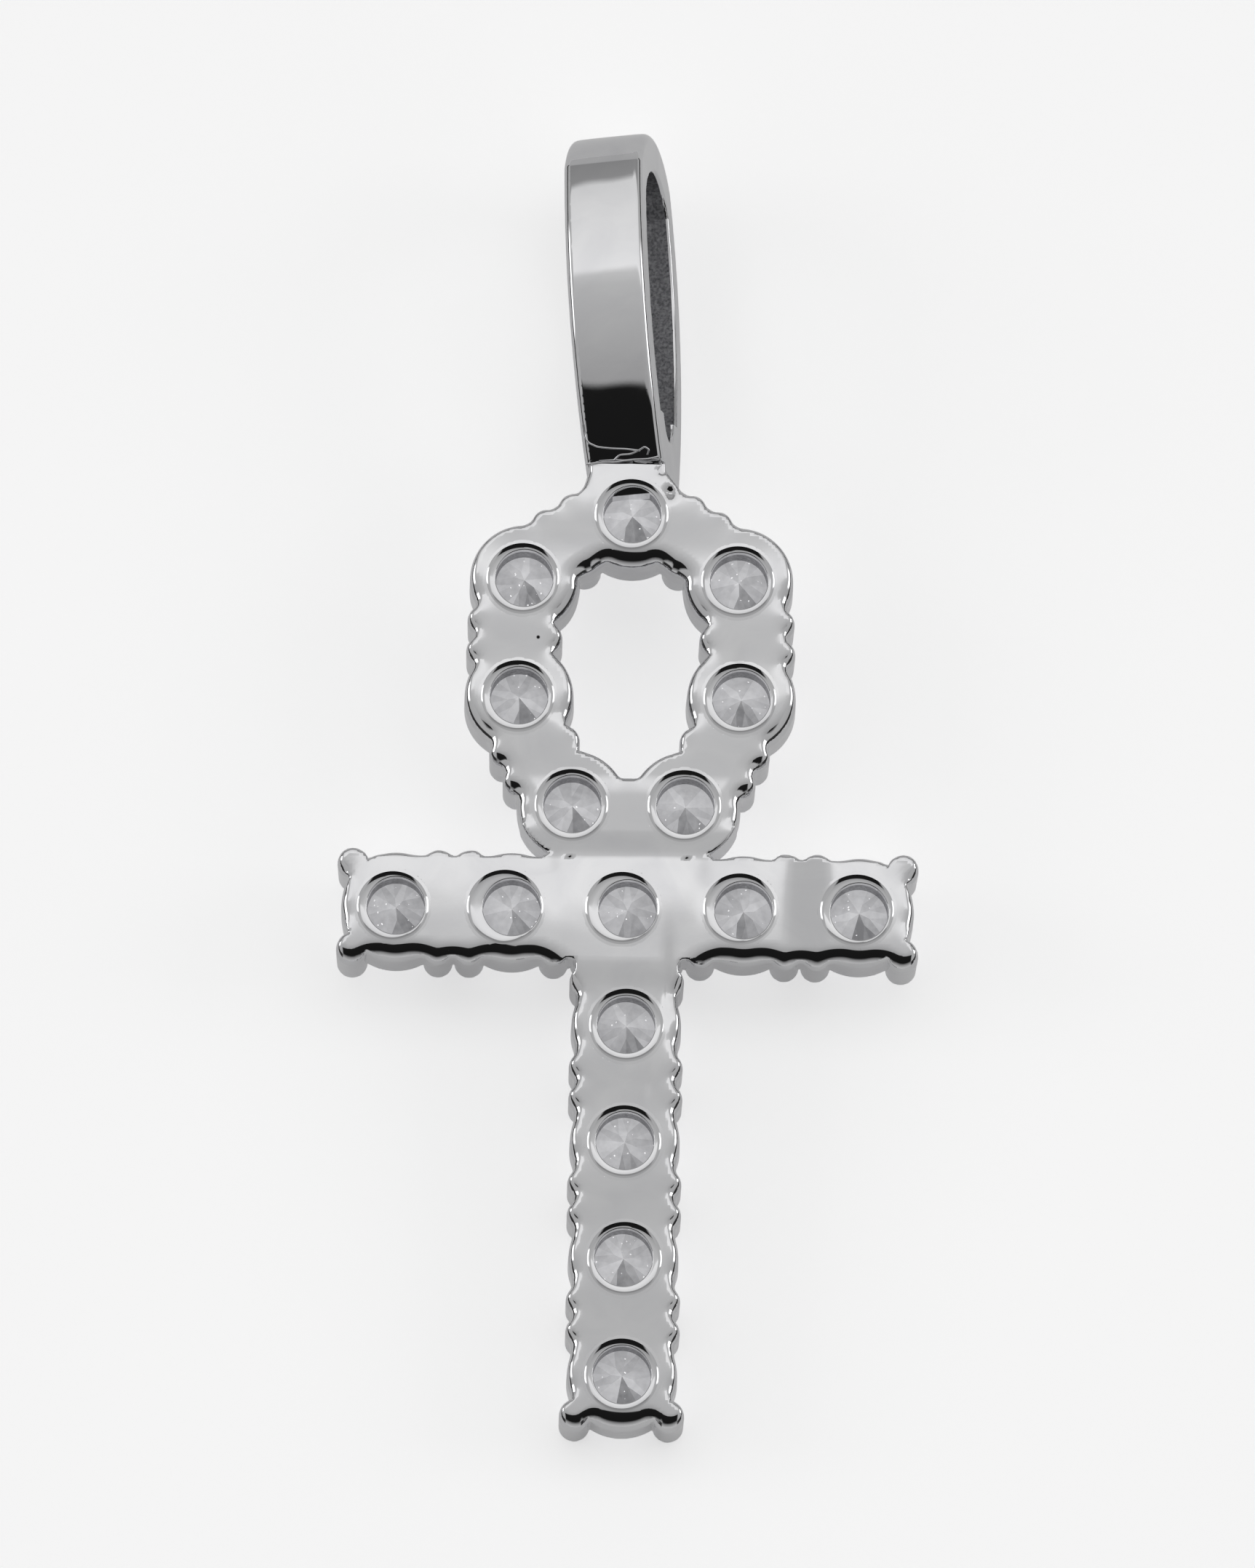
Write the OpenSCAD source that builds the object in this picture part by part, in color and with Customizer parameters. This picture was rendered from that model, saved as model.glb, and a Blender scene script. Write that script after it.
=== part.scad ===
// Ankh pendant: a polished setting with a soldered bail, sixteen round stones held in
// open-backed cups, and a row of small stones in the front of the bail. It lies face down,
// so its plain back looks up. Heights z in the plate's own frame are measured from the
// flat back: 0 is the back, and depths run down towards the front.

/* [Stones] */
// Diameter of each main stone
stone_d = 4; // [3.6:0.1:4.4]
// Space between neighbouring stones along the crossbar
bar_gap = 0.6; // [0.5:0.05:0.9]
// Space between neighbouring stones down the stem and round the loop
stem_gap = 0.67; // [0.6:0.01:1]
// Clearance between a stone and the metal round it
seat_clear = 0.03; // [0.02:0.01:0.06]
// Depth of the stones' points below the back
culet_depth = 0.55; // [0.4:0.05:0.8]

/* [Setting] */
// Metal outside each stone, at the rim of its cup
cup_wall = 0.24; // [0.2:0.02:0.4]
// How much slimmer a cup is at the back than at its rim
draft = 0.06; // [0:0.02:0.1]
// Metal standing past the stones' girdles at the rim of the cups
rim_lip = 0.05; // [0:0.01:0.1]
// Depth of the bars that join the cups
web_depth = 1.9; // [1.5:0.1:2.1]
// How far the straight bars stand in from the cups' outline, on each side
web_inset = 0.16; // [0.1:0.02:0.3]
// Width of the loop's bars outwards of the line between their stones
loop_outer_half = 1.87; // [1.6:0.01:2]
// Width of the loop's bars inwards of the line between their stones
loop_inner_half = 1.13; // [0.9:0.01:1.3]
// Depth of the softly rounded back edge
edge_round = 0.36; // [0.2:0.02:0.5]
// Radius of the window behind each stone
window_r = 1.17; // [0.9:0.01:1.4]
// Radius of the countersink round each window, at the back
sink_r = 1.45; // [1.4:0.01:1.7]
// Depth of that countersink
sink_depth = 0.22; // [0.1:0.02:0.35]
// Height of the metal between the loop's two lowest stones, above their centres
loop_crotch = 1.1; // [0.8:0.05:1.4]

/* [Prongs] */
// Radius of a prong
prong_r = 0.59; // [0.5:0.01:0.65]
// Radius of the prongs at the ends of the crossbar and of the stem
end_prong_r = 0.62; // [0.55:0.01:0.7]
// How far a prong reaches over its stone
prong_bite = 0.19; // [0.12:0.01:0.3]
// Space between the two prongs of a pair
pair_gap = 0.06; // [0.02:0.01:0.12]
// Radius of the prongs inside the loop, which two stones share
shared_prong_r = 0.66; // [0.6:0.01:0.72]
// How much further out the end prongs stand
end_prong_out = 0.03; // [0:0.01:0.1]
// Angle from the stem to the prongs at its end
stem_end_spread = 49; // [42:1:52]
// How far the prongs' tips stand above the stones' tables
prong_over = 0.53; // [0.3:0.01:0.8]

/* [Bail] */
// Height of the bail above the loop
bail_h = 13.8; // [12:0.1:16]
// Depth of the bail from its back to its front
bail_d = 7.4; // [7:0.1:8]
// Width of the bail's band
bail_w = 3.2; // [2.8:0.1:3.8]
// Thickness of the band at its front and back
bail_wall = 1.1; // [1.05:0.05:1.3]
// Thickness of the band at its top
bail_top_wall = 1.6; // [1.2:0.1:2]
// Depth of the bail's foot where it is soldered to the loop
bail_foot_d = 3.9; // [3.4:0.1:4.4]
// How far the bail's foot reaches down over the loop's top cup
bail_sink = 1.25; // [0.8:0.05:1.5]
// Height of the metal below the chain's way
bail_sill = 1.1; // [0.8:0.1:1.6]
// Width of the bevel along the band's outer edges
bail_bevel = 0.24; // [0.1:0.02:0.4]
// Lean of the bail to the left, seen from the back
bail_lean = 3.6; // [0:0.1:6]
// Turn of the bail, which shows its right side from the back
bail_turn = 12.1; // [0:0.1:14]

/* [Bail stones] */
// Diameter of each small stone
small_d = 1.7; // [1.4:0.1:1.8]
// Space between neighbouring small stones
small_gap = 0.28; // [0.2:0.02:0.4]
// Radius of the open hole behind each small stone
small_window_r = 0.42; // [0.3:0.02:0.6]
// Radius of the beads that hold the small stones
bead_r = 0.24; // [0.18:0.01:0.28]
// How far the beads stand out of the bail's front
bead_out = 0.12; // [0.08:0.01:0.16]

/* [Hidden] */
$fn = 48;

// A cut runs this far past the face that it opens
past = 0.5;

// Where the stones lie. The loop's rows are shares of the two pitches.
bar_pitch = stone_d + bar_gap;
stem_pitch = stone_d + stem_gap;
BAR_SIDE = 2;
STEM_COUNT = 4;
LOOP = [ // [across from the middle, up from the crossbar]
    [-0.489, 0.901],
    [-0.963, 1.841],
    [-0.932, 2.867],
    [ 0.000, 3.439],
    [ 0.932, 2.867],
    [ 0.963, 1.841],
    [ 0.489, 0.901]];
// How far each prong shared inside the loop stands inwards, as a share of a stone's radius
SHARED_IN = [0.4, 0.49, 0.25, 0.25, 0.49, 0.4];
function bar_place(i) = [i * bar_pitch, 0];
function stem_place(i) = [0, -i * stem_pitch];
loop_places = [for (row = LOOP) [row[0] * bar_pitch, row[1] * stem_pitch]];
bar_places = [for (i = [-BAR_SIDE:BAR_SIDE]) bar_place(i)];
stem_places = [for (i = [1:STEM_COUNT]) stem_place(i)];
stem_end = STEM_COUNT * stem_pitch;
loop_base = loop_places[0];
loop_top = loop_places[3];

// Proportions of a round brilliant, as shares of its diameter
TABLE = 0.56;
STAR_R = 0.80;
CROWN = 0.15;
GIRDLE = 0.025;
PAVILION = 0.43;
LOWER_R = 0.22;

// Depths below the back
girdle_depth = culet_depth + PAVILION * stone_d;
crown_depth = girdle_depth + GIRDLE * stone_d;
table_depth = crown_depth + CROWN * stone_d;
rim_depth = crown_depth + rim_lip;
prong_depth = table_depth + prong_over;

// Sizes across
cup_r = stone_d / 2 + cup_wall;
cup_back_r = cup_r - draft;
web_half = cup_back_r - web_inset + draft / 2;
prong_out = stone_d / 2 + prong_r - prong_bite;
end_out = stone_d / 2 + end_prong_r - prong_bite + end_prong_out;
// Shares of a prong's radius: the flat at its tip, the depth of the dome round it, and where
// the dome's two facets meet, across and in depth
TIP_FLAT = 0.5;
TIP_DOME = 0.45;
DOME_OUT = 0.82;
DOME_DEEP = 0.35;
// Share of a rounded edge at which its two facets meet
ROUND_MEET = 0.3;

// The bail's outline is two wide arcs, front and back, under a round top
bail_foot = loop_top[1] + cup_back_r - 0.05;
bail_mid_depth = prong_depth / 2;
BAIL_BELLY = 0.55;
SILL_ROUND = 1.1;
belly = BAIL_BELLY * bail_h;
side_sag = (bail_d - bail_foot_d) / 2;
side_r = (belly * belly + side_sag * side_sag) / (2 * side_sag);
side_off = side_r - bail_d / 2;
top_r = bail_d / 2;
top_mid = bail_h - top_r;

// The row of small stones fills the front of the bail from its sill to its round top
small_pitch = small_d + small_gap;
small_step = small_pitch / side_r * 180 / PI;
row_low = bail_sill + small_gap;
row_high = top_mid + top_r / 2;
small_count = floor((row_high - row_low) / small_pitch);
first_small = asin(((row_low + row_high) / 2 - belly) / side_r) / small_step - (small_count - 1) / 2;
small_girdle = CROWN * small_d;
small_sink = small_girdle + (GIRDLE + PAVILION) * small_d;

// The pendant rests on the bail's front and on the two prongs at the end of the stem
front_reach = max(
    (bail_d / 2 + bead_out) * cos(bail_turn) + (small_d / 2 + bead_r / 2) * sin(bail_turn),
    bail_d / 2 * cos(bail_turn) + (bail_w / 2 - bail_bevel) * sin(bail_turn));
front_low = bail_mid_depth + front_reach;
front_y = bail_foot + belly * cos(bail_lean);
tip_y = -(stem_end + end_out * cos(stem_end_spread) + TIP_FLAT * end_prong_r);
rest_tilt = atan((front_low - prong_depth) / (front_y - tip_y));
rest_lift = prong_depth * cos(rest_tilt) - tip_y * sin(rest_tilt);
low_y = -(stem_end + end_out * cos(stem_end_spread) + end_prong_r) * cos(rest_tilt)
    + edge_round * sin(rest_tilt);
high_y = (bail_foot + bail_h * cos(bail_lean) + bail_w / 2 * sin(bail_lean)) * cos(rest_tilt)
    + bail_mid_depth * sin(rest_tilt);
rest_mid = (low_y + high_y) / 2;

// Direction from one place to another, in degrees
function heading(a, b) = atan2(b[1] - a[1], b[0] - a[0]);
function stepped(a, dir, far) = [a[0] + far * cos(dir), a[1] + far * sin(dir)];

// Place beside the line from a to b, an amount along it from a and an amount to its left
function beside(a, b, along, left) =
    let (u = (b - a) / norm(b - a))
    [a[0] + u[0] * along - u[1] * left, a[1] + u[1] * along + u[0] * left];

// How far out a prong stands from the line between two stones, if it is so far past the first
function out_from(along) = sqrt(pow(prong_out, 2) - pow(along, 2));

// The pair of prongs on one side of the bar that joins two stones
pair_half = prong_r + pair_gap / 2;
function pair(a, b, side) =
    let (near = norm(b - a) / 2 - pair_half)
    [for (along = [near, norm(b - a) - near]) beside(a, b, along, side * out_from(near))];
function both_pairs(a, b) = concat(pair(a, b, 1), pair(a, b, -1));

// The two prongs of a stone at an open end
function corners(p, dir, spread) = [for (q = [-spread, spread]) stepped(p, dir + q, end_out)];

straight = concat([bar_place(0)], stem_places);
plain_prongs = [
    for (i = [0:len(bar_places) - 2]) for (p = both_pairs(bar_places[i], bar_places[i + 1])) p,
    for (i = [0:len(straight) - 2]) for (p = both_pairs(straight[i], straight[i + 1])) p,
    for (i = [0:len(LOOP) - 2]) for (p = pair(loop_places[i], loop_places[i + 1], 1)) p,
    [0, loop_base[1] - out_from(loop_base[0])]];
shared_prongs = [
    for (i = [0:len(LOOP) - 2]) let (a = loop_places[i], b = loop_places[i + 1])
        beside(a, b, norm(b - a) / 2, -SHARED_IN[i] * stone_d / 2),
    [0, loop_base[1] + loop_crotch - shared_prong_r]];
end_prongs = concat(
    corners(bar_place(-BAR_SIDE), 180, 45),
    corners(bar_place(BAR_SIDE), 0, 45),
    corners(stem_place(STEM_COUNT), 270, stem_end_spread));

// A round brilliant with its girdle's lower edge at z 0 and its table towards +z
function ring(r, z, n, first) =
    [for (k = [0:n - 1]) let (q = first + k * 360 / n) [r * cos(q), r * sin(q), z]];
function brilliant_points(d) =
    let (r = d / 2,
        star = STAR_R * r,
        lower = LOWER_R * r,
        crown_z = CROWN * d,
        rim_z = GIRDLE * d,
        star_z = rim_z + crown_z * (r - star * cos(22.5)) / (r - TABLE * r),
        lower_z = -PAVILION * d * (1 - lower * cos(22.5) / r))
    concat(
        ring(TABLE * r, rim_z + crown_z, 8, 0),
        ring(star, star_z, 8, 22.5),
        ring(r, rim_z, 16, 0),
        ring(r, 0, 16, 0),
        ring(lower, lower_z, 8, 22.5),
        [[0, 0, -PAVILION * d]]);
function brilliant_faces() =
    let (stars = 8,              // first point of the ring below the table's
        upper = stars + 8,       // of the girdle's upper edge
        under = upper + 16,      // of its lower edge
        halves = under + 16,     // of the ring near the point
        tip = halves + 8)
    concat(
        [[for (k = [7:-1:0]) k]],
        [for (k = [0:7]) [k, (k + 1) % 8, stars + k]],
        [for (k = [0:7]) [k, stars + k, upper + 2 * k, stars + (k + 7) % 8]],
        [for (k = [0:7]) [stars + k, upper + 2 * k + 1, upper + 2 * k]],
        [for (k = [0:7]) [stars + k, upper + (2 * k + 2) % 16, upper + 2 * k + 1]],
        [for (k = [0:15]) [upper + k, upper + (k + 1) % 16, under + (k + 1) % 16, under + k]],
        [for (k = [0:7]) [halves + k, under + 2 * k, under + 2 * k + 1]],
        [for (k = [0:7]) [halves + k, under + 2 * k + 1, under + (2 * k + 2) % 16]],
        [for (k = [0:7]) [tip, halves + (k + 7) % 8, under + 2 * k, halves + k]]);

module brilliant(d) {
    polyhedron(points = brilliant_points(d), faces = brilliant_faces(), convexity = 2);
}

// A round pad with its back edge rounded in two facets
module pad(r_back, r_front, depth) {
    rotate_extrude()
        polygon([[0, 0], [r_back - edge_round, 0],
            [r_back - ROUND_MEET * edge_round, -ROUND_MEET * edge_round],
            [r_back, -edge_round], [r_front, -depth], [0, -depth]]);
}

// A prong runs through the whole depth, with a rounded back end and a domed tip
module prong(r) {
    rotate_extrude()
        polygon([[0, 0], [r - edge_round, 0],
            [r - ROUND_MEET * edge_round, -ROUND_MEET * edge_round],
            [r, -edge_round], [r, -prong_depth + TIP_DOME * r],
            [DOME_OUT * r, -prong_depth + DOME_DEEP * TIP_DOME * r],
            [TIP_FLAT * r, -prong_depth], [0, -prong_depth]]);
}

// A straight bar between two places, with both back edges rounded
module web(a, b, left, right) {
    meet = ROUND_MEET * edge_round;
    translate([a[0], a[1], 0]) rotate([0, 0, heading(a, b) + 90]) rotate([90, 0, 0])
        linear_extrude(norm(b - a))
            polygon([[-right, -web_depth], [left, -web_depth], [left, -edge_round],
                [left - meet, -meet], [left - edge_round, 0],
                [edge_round - right, 0], [meet - right, -meet], [-right, -edge_round]]);
}

// The room that a stone needs: countersink, window, cup and the notch in its prongs
module stone_room(d, sink_top_r, sink_deep, hole_r, culet, top_depth) {
    r = d / 2 + seat_clear;
    slope = (d / 2) / (PAVILION * d);
    hole_end = culet + (hole_r - seat_clear) / slope;
    girdle = culet + PAVILION * d;
    rotate_extrude()
        polygon([[0, past], [sink_top_r, past], [sink_top_r, 0], [hole_r, -sink_deep],
            [hole_r, -hole_end], [r, -girdle], [r, -girdle - GIRDLE * d - seat_clear],
            [TABLE * d / 2, -top_depth - seat_clear], [0, -top_depth - seat_clear]]);
}

module cups() {
    for (p = concat(loop_places, bar_places, stem_places))
        translate([p[0], p[1], 0]) pad(cup_back_r, cup_r, rim_depth);
}

module webs() {
    web(bar_place(-BAR_SIDE), bar_place(BAR_SIDE), web_half, web_half);
    web(bar_place(0), stem_place(STEM_COUNT), web_half, web_half);
    web(bar_place(0), [0, loop_base[1] + loop_crotch], -loop_base[0], -loop_base[0]);
    for (i = [0:len(LOOP) - 2])
        web(loop_places[i], loop_places[i + 1], loop_outer_half, loop_inner_half);
}

module prongs() {
    for (p = plain_prongs) translate([p[0], p[1], 0]) prong(prong_r);
    for (p = shared_prongs) translate([p[0], p[1], 0]) prong(shared_prong_r);
    for (p = end_prongs) translate([p[0], p[1], 0]) prong(end_prong_r);
}

// A wide disc across the band, bevelled at both rims. Its axis is z.
module band_disc(r) {
    half = bail_w / 2;
    meet = ROUND_MEET * bail_bevel;
    rotate_extrude($fn = 96)
        polygon([[0, -half], [r - bail_bevel, -half], [r - meet, -half + meet],
            [r, -half + bail_bevel], [r, half - bail_bevel],
            [r - meet, half - meet], [r - bail_bevel, half], [0, half]]);
}

// The bail in its own plane: x is its height above the foot, y its depth, z runs across the band
module bail_blank() {
    intersection() {
        translate([belly, side_off, 0]) band_disc(side_r);
        translate([belly, -side_off, 0]) band_disc(side_r);
        union() {
            translate([top_mid, 0, 0]) band_disc(top_r);
            translate([-bail_sink, -bail_d / 2 - past, -bail_w / 2])
                cube([top_mid + bail_sink, bail_d + 2 * past, bail_w]);
        }
    }
}

// The chain's way through the bail, round at its top and at its sill
module bail_way() {
    in_r = side_r - bail_wall;
    in_top = bail_d / 2 - bail_wall;
    in_mid = bail_h - bail_top_wall - in_top;
    round_r = SILL_ROUND * (bail_foot_d / 2 - bail_wall);
    translate([0, 0, -bail_w]) linear_extrude(2 * bail_w) {
        intersection() {
            translate([belly, side_off]) circle(in_r, $fn = 96);
            translate([belly, -side_off]) circle(in_r, $fn = 96);
            union() {
                translate([in_mid, 0]) circle(in_top);
                translate([bail_sill + round_r, -bail_d / 2])
                    square([in_mid - bail_sill - round_r, bail_d]);
            }
        }
        translate([bail_sill + round_r, 0]) circle(round_r);
    }
}

// Places a thing an angle up the bail's front wall from its belly, with +z out of the wall
// and z 0 on its face
module on_front(step) {
    translate([belly, side_off, 0]) rotate([0, 0, step]) translate([0, -side_r, 0]) rotate([90, 0, 0])
        children();
}

module bail_beads() {
    for (i = [0:small_count]) for (s = [-1, 1])
        on_front((first_small + i - 0.5) * small_step)
            translate([0, s * (small_d / 2), bead_out - bead_r]) sphere(bead_r, $fn = 24);
}

module bail_rooms() {
    for (i = [0:small_count - 1]) on_front((first_small + i) * small_step)
        translate([0, 0, -bail_wall]) mirror([0, 0, 1])
            stone_room(small_d, small_window_r, 0, small_window_r,
                bail_wall - small_sink, bail_wall + past);
}

// Stands the bail on the loop, turned and leaning as it was soldered
module bail_stand() {
    translate([0, bail_foot, -bail_mid_depth]) rotate([0, 0, bail_lean]) rotate([0, -bail_turn, 0])
        rotate([90, 0, 90]) children();
}

// The bail's foot is filed flush with the back, and cut away round the loop's top stone
module foot_trim() {
    translate([-bail_w, bail_foot - bail_sink - past, 0]) cube([2 * bail_w, bail_sink + past, bail_d]);
    translate([loop_top[0], loop_top[1], -bail_d]) cylinder(r = cup_r, h = bail_d - rim_depth);
}

// Lays the pendant face down on its bail and on the prongs at the end of its stem
module laid() {
    translate([0, -rest_mid, rest_lift]) rotate([rest_tilt, 0, 0]) children();
}

module setting() {
    color("silver") laid() difference() {
        union() {
            cups();
            webs();
            prongs();
            difference() {
                bail_stand() difference() {
                    union() {
                        bail_blank();
                        bail_beads();
                    }
                    bail_way();
                    bail_rooms();
                }
                foot_trim();
            }
        }
        for (p = concat(loop_places, bar_places, stem_places))
            translate([p[0], p[1], 0])
                stone_room(stone_d, sink_r, sink_depth, window_r, culet_depth, table_depth + past);
    }
}

module main_stone(p) {
    color("whitesmoke") laid() translate([p[0], p[1], -girdle_depth]) rotate([180, 0, 0])
        brilliant(stone_d);
}

module bail_stones() {
    color("whitesmoke") laid() bail_stand()
        for (i = [0:small_count - 1]) on_front((first_small + i) * small_step)
            translate([0, 0, -small_girdle - GIRDLE * small_d]) brilliant(small_d);
}

setting();
main_stone(loop_places[0]);  // loop_stone_1
main_stone(loop_places[1]);  // loop_stone_2
main_stone(loop_places[2]);  // loop_stone_3
main_stone(loop_places[3]);  // loop_stone_4
main_stone(loop_places[4]);  // loop_stone_5
main_stone(loop_places[5]);  // loop_stone_6
main_stone(loop_places[6]);  // loop_stone_7
main_stone(bar_places[0]);  // bar_stone_1
main_stone(bar_places[1]);  // bar_stone_2
main_stone(bar_places[2]);  // bar_stone_3
main_stone(bar_places[3]);  // bar_stone_4
main_stone(bar_places[4]);  // bar_stone_5
main_stone(stem_places[0]);  // stem_stone_1
main_stone(stem_places[1]);  // stem_stone_2
main_stone(stem_places[2]);  // stem_stone_3
main_stone(stem_places[3]);  // stem_stone_4
bail_stones();
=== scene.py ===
"""An ankh pendant seen from its plain back: a mirror-polished setting with sixteen round
stones in open-backed cups, and a tall soldered bail with small stones in its front."""
from __future__ import annotations

import logging
import math
from dataclasses import dataclass, field
from enum import Enum
from typing import Any, Callable

import bmesh
import bpy
import numpy as np
from mathutils import Matrix, Vector
from mathutils.kdtree import KDTree


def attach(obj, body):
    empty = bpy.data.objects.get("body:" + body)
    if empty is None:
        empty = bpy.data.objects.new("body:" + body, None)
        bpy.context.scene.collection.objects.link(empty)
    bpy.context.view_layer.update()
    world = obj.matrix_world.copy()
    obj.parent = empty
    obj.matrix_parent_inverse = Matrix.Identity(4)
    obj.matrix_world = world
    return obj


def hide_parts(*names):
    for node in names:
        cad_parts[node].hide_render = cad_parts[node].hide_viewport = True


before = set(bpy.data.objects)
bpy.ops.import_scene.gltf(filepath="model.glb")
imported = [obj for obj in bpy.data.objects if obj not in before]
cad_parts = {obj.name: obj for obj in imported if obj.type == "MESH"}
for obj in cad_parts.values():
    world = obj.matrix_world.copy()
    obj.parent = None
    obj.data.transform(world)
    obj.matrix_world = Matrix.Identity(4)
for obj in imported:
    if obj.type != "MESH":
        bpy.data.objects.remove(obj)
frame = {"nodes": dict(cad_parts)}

log = logging.getLogger("ankh_pendant")
MM = 0.001
MICRON = 1e-6
Array = np.ndarray
Colour = tuple[float, float, float, float]
Field = Callable[[Array, Array, Array], Array]

# Radius that stands for solid metal where a stone's room has ended
NO_ROOM = -9.0
# A room's slanting wall is nearer than its radius tells, so only this share of the way is counted
ROOM_SHARE = 0.8


# Small helpers

def linear(colour: str) -> Colour:
    """Turns an sRGB hex colour to linear values.

    Args:
        colour: six hex digits after a hash.

    Returns:
        Linear red, green and blue, with an alpha of one.
    """
    parts = [int(colour[i:i + 2], 16) / 255 for i in (1, 3, 5)]
    red, green, blue = (c / 12.92 if c <= 0.04045 else ((c + 0.055) / 1.055) ** 2.4
                        for c in parts)
    return red, green, blue, 1.0


def grey(light: float) -> Colour:
    """A grey that gives off so much linear light."""
    return light, light, light, 1.0


def add_node(tree: bpy.types.NodeTree, kind: str, settings: dict[str, Any] | None = None,
             inputs: dict[str | int, Any] | None = None) -> bpy.types.Node:
    """Adds a node with its settings and its inputs, which are values or other nodes' sockets.

    Args:
        tree: the node tree that gets the node.
        kind: the node's type name.
        settings: the node's own properties.
        inputs: input sockets by name or number.

    Returns:
        The new node.
    """
    made = tree.nodes.new(kind)
    for name, value in (settings or {}).items():
        setattr(made, name, value)
    for name, value in (inputs or {}).items():
        socket = made.inputs[name]
        if isinstance(value, bpy.types.NodeSocket):
            tree.links.new(value, socket)
        else:
            socket.default_value = value
    return made


def fill_ramp(ramp: bpy.types.ColorRamp, stops: list[tuple[float, Colour]]) -> None:
    """Sets the stops of a colour ramp.

    Args:
        ramp: the ramp.
        stops: each stop's position and colour.
    """
    while len(ramp.elements) > 1:
        ramp.elements.remove(ramp.elements[-1])
    for i, (position, colour) in enumerate(stops):
        stop = ramp.elements[0] if i == 0 else ramp.elements.new(position)
        stop.position = position
        stop.color = colour


def new_material(name: str) -> tuple[bpy.types.Material, bpy.types.NodeTree, bpy.types.Node]:
    """Makes an empty material with a Principled shader at its output.

    Args:
        name: the material's name.

    Returns:
        The material, its tree and the shader node.
    """
    made = bpy.data.materials.new(name)
    made.use_nodes = True
    tree = made.node_tree
    tree.nodes.clear()
    shader = add_node(tree, "ShaderNodeBsdfPrincipled")
    add_node(tree, "ShaderNodeOutputMaterial", inputs={"Surface": shader.outputs["BSDF"]})
    return made, tree, shader


def in_scene(name: str, data: bpy.types.Mesh | bpy.types.Camera) -> bpy.types.Object:
    """Makes an object at the origin and links it to the scene.

    Args:
        name: the object's name.
        data: its mesh or camera.

    Returns:
        The object.
    """
    made = bpy.data.objects.new(name, data)
    bpy.context.scene.collection.objects.link(made)
    return made


def from_shape(name: str, shape: bmesh.types.BMesh) -> bpy.types.Object:
    """Makes an object of a finished bmesh and frees that.

    Args:
        name: the object's name.
        shape: the bmesh.

    Returns:
        The object.
    """
    mesh = bpy.data.meshes.new(name)
    shape.to_mesh(mesh)
    shape.free()
    return in_scene(name, mesh)


def begin_tree(name: str,
               inputs: dict[str, str]) -> tuple[bpy.types.GeometryNodeTree, bpy.types.Node]:
    """Begins a Geometry Nodes tree that takes a geometry and gives one.

    Args:
        name: the tree's name.
        inputs: its other inputs, each name with its kind of socket.

    Returns:
        The tree, and the node that holds its inputs.
    """
    made = bpy.data.node_groups.new(name, "GeometryNodeTree")
    for label, kind in {"Geometry": "Geometry", **inputs}.items():
        made.interface.new_socket(label, in_out="INPUT", socket_type="NodeSocket" + kind)
    made.interface.new_socket("Geometry", in_out="OUTPUT", socket_type="NodeSocketGeometry")
    return made, add_node(made, "NodeGroupInput")


def end_tree(tree: bpy.types.GeometryNodeTree, shape: bpy.types.NodeSocket,
             finish: bpy.types.NodeSocket) -> None:
    """Ends a Geometry Nodes tree with its instances made real and a finish on them.

    Args:
        tree: the tree.
        shape: the socket that gives the shape.
        finish: the socket that gives the material.
    """
    real = add_node(tree, "GeometryNodeRealizeInstances", inputs={"Geometry": shape})
    dressed = add_node(tree, "GeometryNodeSetMaterial", inputs={
        "Geometry": real.outputs["Geometry"], "Material": finish})
    add_node(tree, "NodeGroupOutput", inputs={"Geometry": dressed.outputs["Geometry"]})


def grown(name: str, start: bpy.types.Mesh, tree: bpy.types.GeometryNodeTree,
          inputs: dict[str, Any]) -> bpy.types.Object:
    """Runs a Geometry Nodes tree on a mesh and keeps what it gives as a plain mesh.

    Args:
        name: the new object's name.
        start: the mesh that the tree takes.
        tree: the tree.
        inputs: values of the tree's other inputs by name.

    Returns:
        The plain object, at the origin.
    """
    holder = in_scene(start.name, start)
    modifier = holder.modifiers.new("grown", "NODES")
    modifier.node_group = tree
    keys = {item.name: item.identifier for item in tree.interface.items_tree
            if item.in_out == "INPUT"}
    for label, value in inputs.items():
        modifier[keys[label]] = value
    bpy.context.view_layer.update()
    graph = bpy.context.evaluated_depsgraph_get()
    mesh = bpy.data.meshes.new_from_object(holder.evaluated_get(graph), depsgraph=graph)
    mesh.name = name
    bpy.data.objects.remove(holder)
    return in_scene(name, mesh)


# Finishes

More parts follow.
